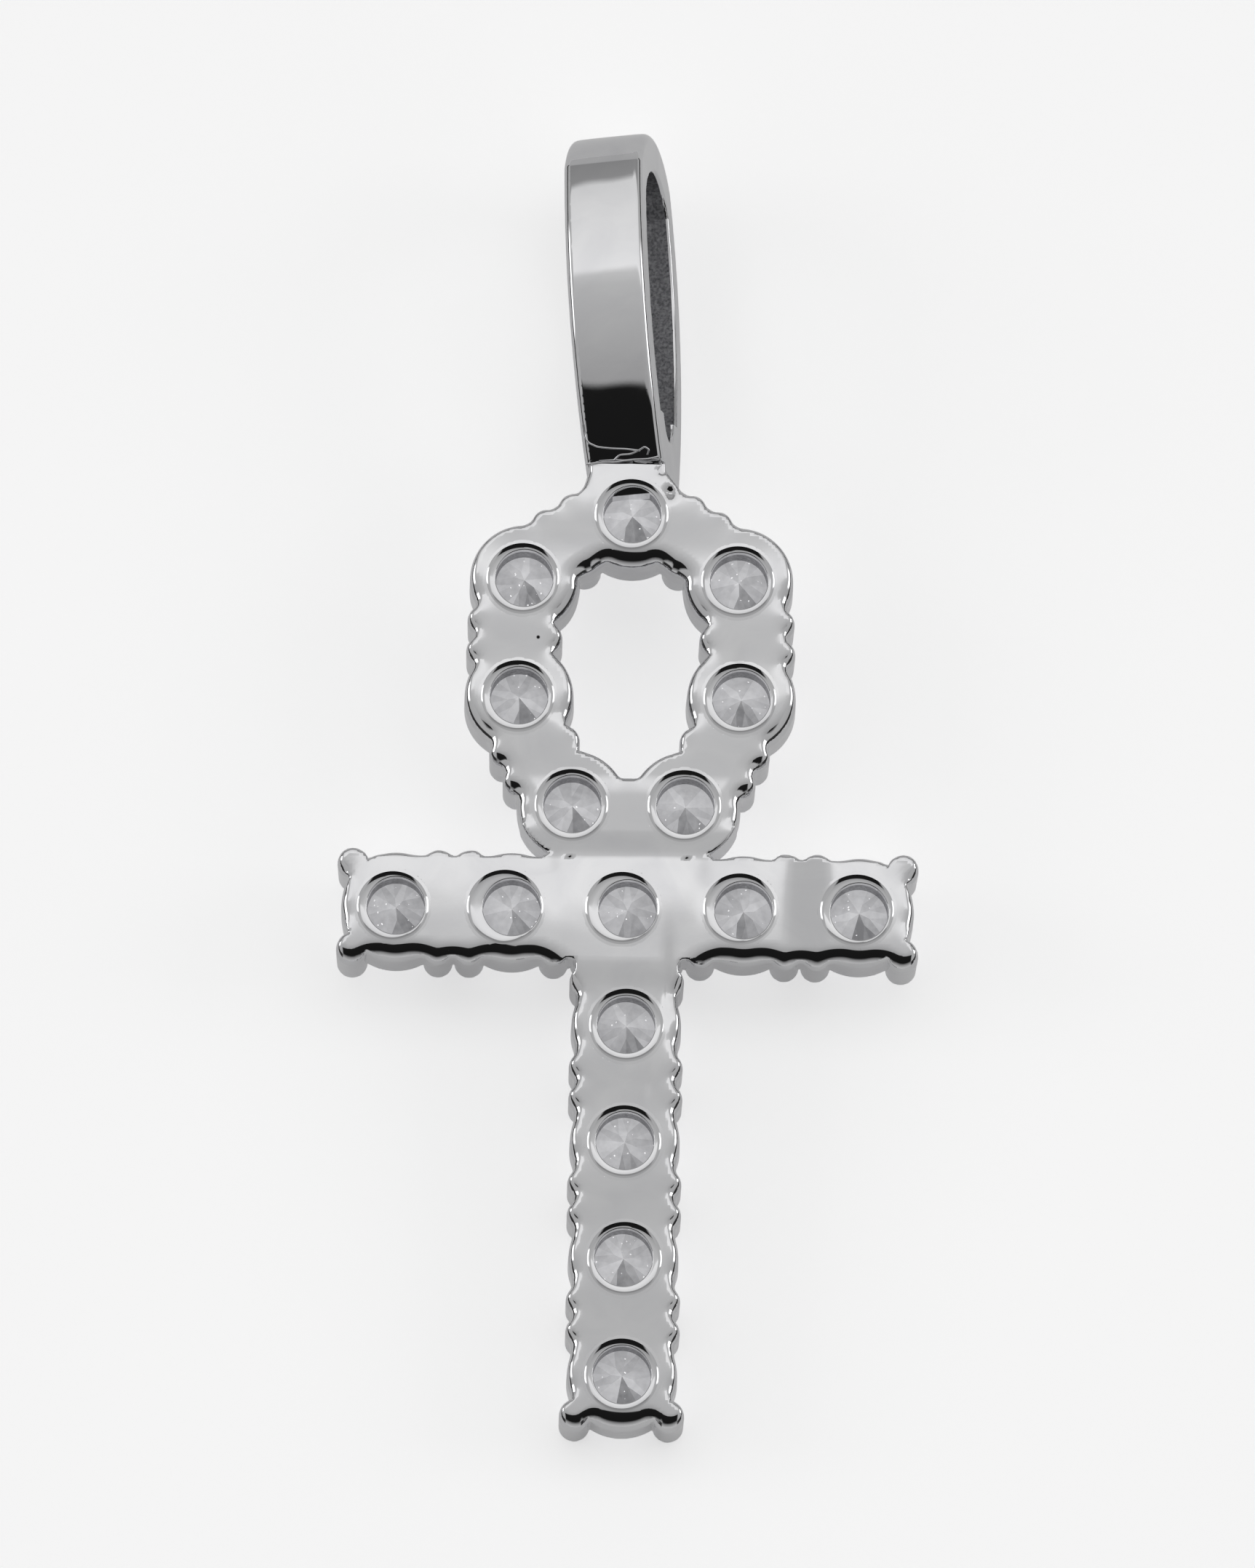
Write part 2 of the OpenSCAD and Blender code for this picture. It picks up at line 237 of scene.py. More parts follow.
@dataclass(frozen=True)
class MirrorSilver:
    """Sterling silver under a thin rhodium plate, polished on felt wheels."""

    colour: str = "#e4e4e5"
    smeared: str = "#dcdcde"     # where fingers left a film
    roughness: float = 0.03
    smear: float = 0.05          # roughness that a film adds
    smear_mm: float = 2.6
    smear_twist: float = 1.2
    film: tuple[float, float] = (0.45, 0.75)     # where a film begins and is full, in the noise
    tint: tuple[float, float] = (0.3, 0.7)       # where its colour begins and is full
    swell_mm: float = 1.6        # spacing of the polisher's faint waves
    swell_um: float = 2.4
    grit_mm: float = 0.16        # fine polishing marks, drawn coarser than real so that they show
    grit_um: float = 0.1
    # A casting pore beside the loop, in the row's frame, drawn as a black spot of painted shade
    pore: tuple[float, float, float] = (-0.00370, 0.00533, 0.00498)
    pore_r: float = 0.00008
    pore_edge: tuple[float, float] = (0.6, 1.2)  # where its dark fades out, as shares of its radius
    # The pore's black is painted shade, standing for the dark inside its hollow
    pore_colour: str = "#1a1a1a"

    def material(self) -> bpy.types.Material:
        """Makes the plated metal.

        Returns:
            The material.
        """
        # A rhodium plate mirrors the room in a neutral grey. The wheel's waves bend what it
        # mirrors, fine marks and films soften it, and the pore is a black speck of painted shade.
        made, tree, shader = new_material("rhodium_plated_silver")
        place = add_node(tree, "ShaderNodeTexCoord").outputs["Object"]
        waves = add_node(tree, "ShaderNodeTexNoise", inputs={
            "Vector": place, "Scale": 1 / (self.swell_mm * MM), "Detail": 1.0})
        marks = add_node(tree, "ShaderNodeTexNoise", inputs={
            "Vector": place, "Scale": 1 / (self.grit_mm * MM), "Detail": 3.0})
        smears = add_node(tree, "ShaderNodeTexNoise", inputs={
            "Vector": place, "Scale": 1 / (self.smear_mm * MM), "Detail": 4.0,
            "Distortion": self.smear_twist})
        gloss = add_node(tree, "ShaderNodeMapRange", inputs={
            "Value": smears.outputs["Fac"], "From Min": self.film[0], "From Max": self.film[1],
            "To Min": self.roughness, "To Max": self.roughness + self.smear})
        tint = add_node(tree, "ShaderNodeValToRGB", inputs={"Fac": smears.outputs["Fac"]})
        fill_ramp(tint.color_ramp, [(self.tint[0], linear(self.colour)),
                                    (self.tint[1], linear(self.smeared))])
        reach = add_node(tree, "ShaderNodeVectorMath", {"operation": "DISTANCE"},
                         {0: place, 1: self.pore})
        # Painted shade of the pore: black that fades out round its place
        hole = add_node(tree, "ShaderNodeMapRange", {"interpolation_type": "SMOOTHSTEP"}, {
            "Value": reach.outputs["Value"], "From Min": self.pore_edge[0] * self.pore_r,
            "From Max": self.pore_edge[1] * self.pore_r})
        colour = add_node(tree, "ShaderNodeMix", {"data_type": "RGBA"}, {
            "Factor": hole.outputs["Result"], 6: linear(self.pore_colour),
            7: tint.outputs["Color"]})
        wave_bump = add_node(tree, "ShaderNodeBump", inputs={
            "Height": waves.outputs["Fac"], "Distance": self.swell_um * MICRON, "Strength": 1.0})
        mark_bump = add_node(tree, "ShaderNodeBump", inputs={
            "Height": marks.outputs["Fac"], "Distance": self.grit_um * MICRON, "Strength": 1.0,
            "Normal": wave_bump.outputs["Normal"]})
        tree.links.new(colour.outputs[2], shader.inputs["Base Color"])
        tree.links.new(gloss.outputs["Result"], shader.inputs["Roughness"])
        tree.links.new(mark_bump.outputs["Normal"], shader.inputs["Normal"])
        shader.inputs["Metallic"].default_value = 1.0
        return made


@dataclass(frozen=True)
class CastSkin:
    """The same silver where no wheel reaches: the pickled skin of the casting."""

    colour: str = "#a9a9ac"
    shade: str = "#77777a"
    tint: tuple[float, float] = (0.35, 0.65)     # where the shade ends and the colour is full
    roughness: float = 0.38
    grain_mm: float = 0.11       # investment grain
    grain_um: float = 9.0
    pit_mm: float = 0.33         # spacing of the pits
    pit_um: float = 18.0

    def material(self) -> bpy.types.Material:
        """Makes the unpolished metal.

        Returns:
            The material.
        """
        # The mould's grain was never polished away, so the skin is satin grey with small pits
        # and mirrors nothing.
        made, tree, shader = new_material("cast_silver_skin")
        place = add_node(tree, "ShaderNodeTexCoord").outputs["Object"]
        grain = add_node(tree, "ShaderNodeTexNoise", inputs={
            "Vector": place, "Scale": 1 / (self.grain_mm * MM), "Detail": 3.0})
        pits = add_node(tree, "ShaderNodeTexVoronoi", inputs={
            "Vector": place, "Scale": 1 / (self.pit_mm * MM)})
        tint = add_node(tree, "ShaderNodeValToRGB", inputs={"Fac": grain.outputs["Fac"]})
        fill_ramp(tint.color_ramp, [(self.tint[0], linear(self.shade)),
                                    (self.tint[1], linear(self.colour))])
        pit_bump = add_node(tree, "ShaderNodeBump", inputs={
            "Height": pits.outputs["Distance"], "Distance": self.pit_um * MICRON,
            "Strength": 1.0})
        bump = add_node(tree, "ShaderNodeBump", inputs={
            "Height": grain.outputs["Fac"], "Distance": self.grain_um * MICRON, "Strength": 1.0,
            "Normal": pit_bump.outputs["Normal"]})
        tree.links.new(tint.outputs["Color"], shader.inputs["Base Color"])
        tree.links.new(bump.outputs["Normal"], shader.inputs["Normal"])
        shader.inputs["Metallic"].default_value = 1.0
        shader.inputs["Roughness"].default_value = self.roughness
        return made


@dataclass(frozen=True)
class CubicZirconia:
    """Clear cubic zirconia, cut and polished. Its back reads as a quiet grey under soft light,
    which is painted into its colour as reflections and given off as a painted glow.
    """

    dark: str = "#6e6e70"
    light: str = "#c2c2c4"
    glint: str = "#ededee"
    tint: tuple[float, float] = (0.2, 1.0)       # where the dark ends and the light is full
    roughness: float = 0.12
    ior: float = 2.15
    # Painted glow: the stones give off light as emission, for the light that comes through them
    through: float = 0.95        # light that comes through from the front
    # Painted reflection: patches of other facets that show through, as noise in the colour
    cloud_mm: float = 0.35       # patches of other facets that show through
    cloud: float = 0.35          # how much they change a facet's tone
    # Painted highlights: near-white specks in the colour, for the small inner reflections
    glint_mm: float = 0.17       # spacing of the small inner reflections
    glint_r: float = 0.2         # their radius, as a share of that spacing
    glint_rare: float = 0.88     # share of places that have none
    bend_mm: float = 0.12        # size of the bends that keep them off straight rows
    bend: float = 0.5            # how far they are moved, as a share of their spacing

    def material(self) -> bpy.types.Material:
        """Makes the stone, which reads each facet's painted reflection and each stone's shade.

        Returns:
            The material.
        """
        # Each facet throws another part of the room back, so the eye sees grey wedges with
        # bright specks, and light from the front fills them. These are painted: the wedges are
        # painted reflections, the specks painted highlights, and the light from the front a painted
        # glow.
        made, tree, shader = new_material("cubic_zirconia")
        place = add_node(tree, "ShaderNodeTexCoord").outputs["Object"]
        tone = add_node(tree, "ShaderNodeAttribute", {"attribute_name": "facet_tone"})
        shade = add_node(tree, "ShaderNodeAttribute", {"attribute_name": "stone_shade"})
        cloud = add_node(tree, "ShaderNodeTexNoise", inputs={
            "Vector": place, "Scale": 1 / (self.cloud_mm * MM), "Detail": 4.0})
        summed = add_node(tree, "ShaderNodeMath", {"operation": "ADD"},
                          {0: tone.outputs["Fac"], 1: shade.outputs["Fac"]})
        mixed = add_node(tree, "ShaderNodeMath", {"operation": "MULTIPLY_ADD"},
                         {0: cloud.outputs["Fac"], 1: self.cloud, 2: summed.outputs["Value"]})
        body = add_node(tree, "ShaderNodeValToRGB", inputs={"Fac": mixed.outputs["Value"]})
        fill_ramp(body.color_ramp, [(self.tint[0], linear(self.dark)),
                                    (self.tint[1], linear(self.light))])
        bent = add_node(tree, "ShaderNodeTexNoise", inputs={
            "Vector": place, "Scale": 1 / (self.bend_mm * MM), "Detail": 2.0})
        shift = add_node(tree, "ShaderNodeVectorMath", {"operation": "SCALE"},
                         {0: bent.outputs["Color"], "Scale": self.bend * self.glint_mm * MM})
        moved = add_node(tree, "ShaderNodeVectorMath", {"operation": "ADD"},
                         {0: place, 1: shift.outputs["Vector"]})
        cells = add_node(tree, "ShaderNodeTexVoronoi", inputs={
            "Vector": moved.outputs["Vector"], "Scale": 1 / (self.glint_mm * MM)})
        near = add_node(tree, "ShaderNodeMath", {"operation": "LESS_THAN"},
                        {0: cells.outputs["Distance"], 1: self.glint_r})
        pick = add_node(tree, "ShaderNodeSeparateColor", inputs={"Color": cells.outputs["Color"]})
        rare = add_node(tree, "ShaderNodeMath", {"operation": "GREATER_THAN"},
                        {0: pick.outputs["Red"], 1: self.glint_rare})
        spark = add_node(tree, "ShaderNodeMath", {"operation": "MULTIPLY"},
                         {0: near.outputs["Value"], 1: rare.outputs["Value"]})
        # The painted highlights are mixed over the painted reflections
        colour = add_node(tree, "ShaderNodeMix", {"data_type": "RGBA"}, {
            "Factor": spark.outputs["Value"], 6: body.outputs["Color"], 7: linear(self.glint)})
        tree.links.new(colour.outputs[2], shader.inputs["Base Color"])
        # Painted glow: the painted colour is also given off as light
        tree.links.new(colour.outputs[2], shader.inputs["Emission Color"])
        shader.inputs["Emission Strength"].default_value = self.through
        shader.inputs["Roughness"].default_value = self.roughness
        shader.inputs["IOR"].default_value = self.ior
        return made


@dataclass(frozen=True)
class LitTable:
    """A white acrylic shooting table, lit a little from below."""

    colour: str = "#e4e4e4"
    bright: str = "#e7e7e7"
    light: str = "#ffffff"
    haze_mm: float = 30.0
    roughness: float = 0.7
    sheen: float = 0.2
    glow: float = 0.13           # light from below
    lift: float = 0.40           # more of it for the camera alone: the ground was exposed to white

    def material(self) -> bpy.types.Material:
        """Makes the table's top.

        Returns:
            The material.
        """
        # Frosted acrylic with light below it is flat white, and its shadows are faint.
        made, tree, shader = new_material("white_acrylic_table")
        place = add_node(tree, "ShaderNodeTexCoord").outputs["Object"]
        haze = add_node(tree, "ShaderNodeTexNoise", inputs={
            "Vector": place, "Scale": 1 / (self.haze_mm * MM), "Detail": 2.0})
        tint = add_node(tree, "ShaderNodeValToRGB", inputs={"Fac": haze.outputs["Fac"]})
        fill_ramp(tint.color_ramp, [(0.0, linear(self.colour)), (1.0, linear(self.bright))])
        path = add_node(tree, "ShaderNodeLightPath")
        glow = add_node(tree, "ShaderNodeMath", {"operation": "MULTIPLY_ADD"},
                        {0: path.outputs["Is Camera Ray"], 1: self.lift, 2: self.glow})
        tree.links.new(tint.outputs["Color"], shader.inputs["Base Color"])
        tree.links.new(glow.outputs["Value"], shader.inputs["Emission Strength"])
        shader.inputs["Emission Color"].default_value = linear(self.light)
        shader.inputs["Roughness"].default_value = self.roughness
        shader.inputs["Specular IOR Level"].default_value = self.sheen
        return made


# Solids as distances, and their skins

def soft_min(a: Array, b: Array, blend: float) -> Array:
    """Joins two solids with a small fillet.

    Args:
        a: distance to the first solid.
        b: distance to the second.
        blend: width of the fillet.

    Returns:
        Distance to both.
    """
    share = np.clip(0.5 + 0.5 * (b - a) / blend, 0, 1)
    return b + (a - b) * share - blend * share * (1 - share)


def round_max(a: Array, b: Array, radius: float) -> Array:
    """Cuts one solid by another with a rounded edge.

    Args:
        a: distance to the first solid.
        b: distance to the second.
        radius: radius of the edge where they meet.

    Returns:
        Distance to what lies in both.
    """
    a, b = a + radius, b + radius
    return np.minimum(np.maximum(a, b), 0) + np.hypot(np.maximum(a, 0), np.maximum(b, 0)) - radius


def nearest(x: Array, y: Array, places: Array) -> Array:
    """Distance in plan to the nearest of some places.

    Args:
        x: x of each point.
        y: y of each point.
        places: rows of x and y.

    Returns:
        The distances.
    """
    best = (x - places[0][0]) ** 2 + (y - places[0][1]) ** 2
    for across, up in places[1:]:
        best = np.minimum(best, (x - across) ** 2 + (y - up) ** 2)
    return np.sqrt(best)


def strip(x: Array, y: Array, start: Array, end: Array, left: float, right: float) -> Array:
    """Distance in plan to a straight strip between two places.

    Args:
        x: x of each point.
        y: y of each point.
        start: the strip's first end.
        end: its other end.
        left: its width to the left of the line.
        right: its width to the right.

    Returns:
        The distances.
    """
    run = np.subtract(end, start)
    length = float(np.hypot(*run))
    ux, uy = run / length
    along = (x - start[0]) * ux + (y - start[1]) * uy
    aside = (y - start[1]) * ux - (x - start[0]) * uy
    dx = np.maximum(-along, along - length)
    dy = np.maximum(aside - left, -right - aside)
    return np.minimum(np.maximum(dx, dy), 0) + np.hypot(np.maximum(dx, 0), np.maximum(dy, 0))


def softened(grid: Array, width: float, tails: float = 2.5) -> Array:
    """Blurs a plan grid.

    Args:
        grid: values by column and row.
        width: the blur's width in grid steps.
        tails: how far it reaches, as a multiple of its width.

    Returns:
        The blurred values.
    """
    reach = math.ceil(tails * width)
    weights = np.exp(-0.5 * (np.arange(-reach, reach + 1) / width) ** 2)
    weights /= weights.sum()
    for axis in (0, 1):
        wide = np.pad(grid, [(reach, reach) if a == axis else (0, 0) for a in (0, 1)],
                      mode="edge")
        count = grid.shape[axis]
        grid = sum(w * np.take(wide, np.arange(k, k + count), axis)
                   for k, w in enumerate(weights))
    return grid


def eased(low: float, high: float, value: Array) -> Array:
    """Rises smoothly from 0 at the low value to 1 at the high one."""
    share = np.clip((value - low) / (high - low), 0, 1)
    return share * share * (3 - 2 * share)


@dataclass(frozen=True)
class PlanMap:
    """Values over the plan on an even grid."""

    left: float
    low: float
    step: float
    values: Array

    def at(self, x: Array, y: Array) -> Array:
        """Reads the value at each place.

        Args:
            x: x of each point.
            y: y of each point.

        Returns:
            Values blended from the four grid points round each place.
        """
        across = np.clip((x - self.left) / self.step, 0, self.values.shape[0] - 1.001)
        up = np.clip((y - self.low) / self.step, 0, self.values.shape[1] - 1.001)
        i, j = across.astype(int), up.astype(int)
        s, t = across - i, up - j
        v = self.values
        return ((v[i, j] * (1 - s) + v[i + 1, j] * s) * (1 - t)
                + (v[i, j + 1] * (1 - s) + v[i + 1, j + 1] * s) * t)


def true_depth(plan: Callable[[Array, Array], Array], xs: Array, ys: Array,
               probe: float = 0.004, slack: float = 0.03) -> Array:
    """Works out the true distance to an outline, also deep inside where the joined shapes meet.

    Args:
        plan: distance to the outline, exact only near it.
        xs: the grid's columns.
        ys: the grid's rows.
        probe: half the span that the outline's direction is measured over.
        slack: how far aside of the nearest point of the outline a place still lies straight in.

    Returns:
        Distances on the grid, negative inside.
    """
    flat = plan(xs[:, None], ys[None, :])
    step = xs[1] - xs[0]
    rim = []
    for axis in (0, 1):
        a = flat[:-1] if axis == 0 else flat[:, :-1]
        b = flat[1:] if axis == 0 else flat[:, 1:]
        i, j = np.nonzero((a < 0) != (b < 0))
        share = a[i, j] / (a[i, j] - b[i, j])
        rim.append(np.stack([xs[i] + (share * step if axis == 0 else 0),
                             ys[j] + (share * step if axis == 1 else 0)], 1))
    rim = np.concatenate(rim)
    x, y = rim.T
    out = np.stack([plan(x + probe, y) - plan(x - probe, y),
                    plan(x, y + probe) - plan(x, y - probe)], 1)
    out /= np.maximum(np.linalg.norm(out, axis=1, keepdims=True), 1e-9)
    tree = KDTree(len(rim))
    for k, (across, up) in enumerate(rim):
        tree.insert((across, up, 0.0), k)
    tree.balance()
    cols, rows = np.nonzero(flat < 0)
    near = np.array([tree.find((xs[i], ys[j], 0.0))[1] for i, j in zip(cols, rows)])
    gap = np.stack([xs[cols], ys[rows]], 1) - rim[near]
    straight = np.abs((gap * out[near]).sum(1))
    aside = np.abs(gap[:, 0] * out[near, 1] - gap[:, 1] * out[near, 0])
    flat[cols, rows] = -np.hypot(straight, np.maximum(aside - slack, 0))
    return flat


def surface_net(axes: tuple[Array, Array, Array], values: Array) -> tuple[Array, Array]:
    """Finds the surface where sampled distances change sign.

    Args:
        axes: the grid's x, y and z lines.
        values: distances at the grid's corners, negative inside.

    Returns:
        Points, and four-sided faces that point outwards.
    """
    inside = values < 0
    cells = tuple(n - 1 for n in values.shape)
    count = int(np.prod(cells))
    sums, hits = np.zeros((3, count)), np.zeros(count)
    rings, flips = [], []
    for axis in range(3):
        low = tuple(slice(0, -1) if a == axis else slice(1, -1) for a in range(3))
        high = tuple(slice(1, None) if a == axis else slice(1, -1) for a in range(3))
        at = np.nonzero(inside[low] != inside[high])
        at = [i + (0 if a == axis else 1) for a, i in enumerate(at)]
        up = [i + (1 if a == axis else 0) for a, i in enumerate(at)]
        first, second = values[tuple(at)], values[tuple(up)]
        share = first / (first - second)
        spot = [axes[a][at[a]] + share * (axes[a][up[a]] - axes[a][at[a]]) for a in range(3)]
        b, c = (axis + 1) % 3, (axis + 2) % 3
        ring = []
        for back_b, back_c in ((1, 1), (0, 1), (0, 0), (1, 0)):
            cell = list(at)
            cell[b] = at[b] - back_b
            cell[c] = at[c] - back_c
            ring.append(np.ravel_multi_index(cell, cells))
        for ids in ring:
            hits += np.bincount(ids, minlength=count)
            for a in range(3):
                sums[a] += np.bincount(ids, weights=spot[a], minlength=count)
        rings.append(np.stack(ring, 1))
        flips.append(first >= 0)
    faces = np.concatenate(rings)
    flip = np.concatenate(flips)
    faces[flip] = faces[flip][:, ::-1]
    used = np.nonzero(hits)[0]
    order = np.full(count, -1)
    order[used] = np.arange(len(used))
    return (sums[:, used] / hits[used]).T, order[faces]


def slopes(points: Array, distance: Field, step: float = 0.008) -> Array:
    """Works out how the distance changes at each point.

    Args:
        points: rows of x, y and z.
        distance: the solid's distance.
        step: half the span that a slope is measured over.

    Returns:
        A row of three slopes for each point.
    """
    x, y, z = points.T
    return np.stack([
        distance(x + step, y, z) - distance(x - step, y, z),
        distance(x, y + step, z) - distance(x, y - step, z),
        distance(x, y, z + step) - distance(x, y, z - step)], 1) / (2 * step)


def settle(points: Array, distance: Field, rounds: int, reach: float,
           flattest: float = 0.09) -> Array:
    """Moves points onto a solid's surface.

    Args:
        points: rows of x, y and z near the surface.
        distance: the solid's distance.
        rounds: how often they are moved.
        reach: the most that a move may be.
        flattest: the least squared slope that a move is divided by.

    Returns:
        The moved points.
    """
    for _ in range(rounds):
        slope = slopes(points, distance)
        steep = np.maximum((slope ** 2).sum(1), flattest)
        move = np.clip(distance(*points.T) / steep, -reach, reach)
        points = points - slope * move[:, None]
    return points


def carve(distance: Field, axes: tuple[Array, Array, Array], reach: float,
          shaded: Field | None = None, rounds: int = 3) -> tuple[Array, Array, Array]:
    """Makes a smooth closed skin of a solid.

    Args:
        distance: the solid's distance.
        axes: the grid that it is sampled on.
        reach: the most that a point may move at a time.
        shaded: the distance that gives the outward directions, if it is another one.
        rounds: how often the points are moved.

    Returns:
        Points, faces, and the points' outward directions.
    """
    x, y, z = axes
    values = distance(x[:, None, None], y[None, :, None], z[None, None, :])
    points, faces = surface_net(axes, np.ascontiguousarray(values))
    points = settle(points, distance, rounds, reach)
    normals = slopes(points, shaded or distance)
    normals /= np.linalg.norm(normals, axis=1, keepdims=True)
    return points, faces, normals


def lines(*spans: tuple[float, float, float]) -> Array:
    """Grid lines over spans, each given by its start, end and spacing.

    Args:
        spans: the spans in order, each beginning where the last one ends.

    Returns:
        The lines' places.
    """
    parts = [np.linspace(a, b, max(2, round(abs(b - a) / step) + 1)) for a, b, step in spans]
    return np.concatenate([parts[0]] + [part[1:] for part in parts[1:]])


# The pendant's pieces

class Slot(Enum):
    """The record's material slots."""

    METAL = "white_metal"
    STONE = "stone"


@dataclass(frozen=True)
class Finishes:
    """The materials of the pendant, each made once."""

    mirror: bpy.types.Material
    cast: bpy.types.Material
    stone: bpy.types.Material

    @staticmethod
    def made() -> "Finishes":
        """Makes all of them."""
        return Finishes(MirrorSilver().material(), CastSkin().material(),
                        CubicZirconia().material())


def skin_object(name: str, points: Array, faces: Array, normals: Array,
                materials: list[bpy.types.Material], choice: Array) -> bpy.types.Object:
    """Makes a smooth-shaded object from a carved skin.

    Args:
        name: the piece's name.
        points: rows of x, y and z in metres, in the row's frame.
        faces: rows of four points.
        normals: the points' outward directions.
        materials: the piece's materials.
        choice: each face's material number.

    Returns:
        The object, at the origin.
    """
    mesh = bpy.data.meshes.new(name)
    mesh.vertices.add(len(points))
    mesh.vertices.foreach_set("co", points.astype(np.float32).ravel())
    mesh.loops.add(faces.size)
    mesh.loops.foreach_set("vertex_index", faces.astype(np.int32).ravel())
    mesh.polygons.add(len(faces))
    starts = np.arange(0, faces.size, faces.shape[1], dtype=np.int32)
    mesh.polygons.foreach_set("loop_start", starts)
    mesh.polygons.foreach_set("material_index", choice.astype(np.int32))
    mesh.update(calc_edges=True)
    mesh.validate()
    mesh.normals_split_custom_set_from_vertices([tuple(n) for n in normals])
    for material in materials:
        mesh.materials.append(material)
    return in_scene(name, mesh)


@dataclass(frozen=True)
class Resting:
    """How the pendant lies: face down on its bail's front and on two prongs of the stem."""

    tilt: float = math.radians(2.70216)
    lift: float = 4.46746      # height of the crossbar's back, in millimetres
    middle: float = 5.61827    # how far towards the bail the middle of the whole lies

    def matrix(self) -> Array:
        """The turn from the plate's frame to the row's."""
        c, s = math.cos(self.tilt), math.sin(self.tilt)
        return np.array([[1, 0, 0], [0, c, -s], [0, s, c]])

    def laid(self, points: Array) -> Array:
        """Takes points from the plate's frame in millimetres to the row's in metres.

        Args:
            points: rows of x, y and z, from the middle of the crossbar's flat back.

        Returns:
            The same places in the row's frame.
        """
        return (points @ self.matrix().T + [0, -self.middle, self.lift]) * MM

    def turned(self, directions: Array) -> Array:
        """Turns directions as laid() turns points."""
        return directions @ self.matrix().T


@dataclass
class Layout:
    """Where the sixteen main stones lie, in millimetres from the middle of the crossbar."""

    bar_pitch: float = 4.6
    stem_pitch: float = 4.67
    bar_side: int = 2
    stem_count: int = 4
    # The loop's stones across and up, as shares of the two pitches
    loop_shares: tuple[tuple[float, float], ...] = (
        (-0.489, 0.901), (-0.963, 1.841), (-0.932, 2.867), (0.0, 3.439),
        (0.932, 2.867), (0.963, 1.841), (0.489, 0.901))

    def loop(self) -> Array:
        """Places round the loop, from its lower left clockwise."""
        return np.array([(a * self.bar_pitch, u * self.stem_pitch) for a, u in self.loop_shares])

    def bar(self) -> Array:
        """Places along the crossbar, from its left."""
        steps = range(-self.bar_side, self.bar_side + 1)
        return np.array([(i * self.bar_pitch, 0.0) for i in steps])

    def stem(self) -> Array:
        """Places down the stem."""
        return np.array([(0.0, -i * self.stem_pitch) for i in range(1, self.stem_count + 1)])

    def every(self) -> Array:
        """All the places."""
        return np.concatenate([self.loop(), self.bar(), self.stem()])


@dataclass
class Prongs:
    """Where the prongs stand round the stones, and their radii."""

    layout: Layout
    radius: float = 0.59
    end_radius: float = 0.62
    shared_radius: float = 0.66
    bite: float = 0.19         # how far a prong laps over its stone's edge
    gap: float = 0.06          # between the two prongs of a pair
    end_out: float = 0.03      # how much farther out the end prongs stand
    # Turn of the end prongs away from the line, in degrees, at the crossbar and the stem
    bar_spread: float = 45.0
    stem_spread: float = 49.0
    # How far inside the loop's line the shared prongs stand, as shares of a stone's radius
    shared_in: tuple[float, ...] = (0.4, 0.49, 0.25, 0.25, 0.49, 0.4)
    crotch: float = 1.1        # how far above the loop's first stones the metal between them ends
    stone_r: float = 2.0

    def out_from(self, along: float) -> float:
        """How far out a prong stands if it is so far past its stone."""
        return math.sqrt((self.stone_r + self.radius - self.bite) ** 2 - along ** 2)

    def pair(self, a: Array, b: Array, side: int) -> list[Array]:
        """The two prongs on one side of the bar between two stones.

        Args:
            a: the first stone's place.
            b: the next stone's place.
            side: 1 for the left of the line, -1 for its right.

        Returns:
            The prongs' places.
        """
        run = b - a
        length = float(np.hypot(*run))
        run = run / length
        left = np.array([-run[1], run[0]])
        near = length / 2 - self.radius - self.gap / 2
        return [a + run * along + left * side * self.out_from(near)
                for along in (near, length - near)]

    def plain(self) -> Array:
        """Finds the pairs between stones, and the one prong below the loop.

        Returns:
            Rows of x and y.
        """
        bar, stem, loop = self.layout.bar(), self.layout.stem(), self.layout.loop()
        line = np.concatenate([[bar[self.layout.bar_side]], stem])
        found: list[Array] = []
        for row in (bar, line):
            for a, b in zip(row, row[1:]):
                found += self.pair(a, b, 1) + self.pair(a, b, -1)
        for a, b in zip(loop, loop[1:]):
            found += self.pair(a, b, 1)
        found.append(np.array([0.0, loop[0][1] - self.out_from(loop[0][0])]))
        return np.array(found)

    def shared(self) -> Array:
        """Finds the prongs inside the loop, which two stones share.

        Returns:
            Rows of x and y.
        """
        loop = self.layout.loop()
        found = []
        for a, b, share in zip(loop, loop[1:], self.shared_in):
            run = (b - a) / np.hypot(*(b - a))
            found.append((a + b) / 2 - np.array([-run[1], run[0]]) * share * self.stone_r)
        found.append(np.array([0.0, loop[0][1] + self.crotch - self.shared_radius]))
        return np.array(found)

    def ends(self) -> Array:
        """Finds the prongs at the open ends of the crossbar and the stem.

        Returns:
            Rows of x and y.
        """
        bar, stem = self.layout.bar(), self.layout.stem()
        out = self.stone_r + self.end_radius - self.bite + self.end_out
        found = []
        for place, heading, spread in (
                (bar[0], 180, self.bar_spread), (bar[-1], 0, self.bar_spread),
                (stem[-1], 270, self.stem_spread)):
            for turn in (-spread, spread):
                q = math.radians(heading + turn)
                found.append(place + out * np.array([math.cos(q), math.sin(q)]))
        return np.array(found)


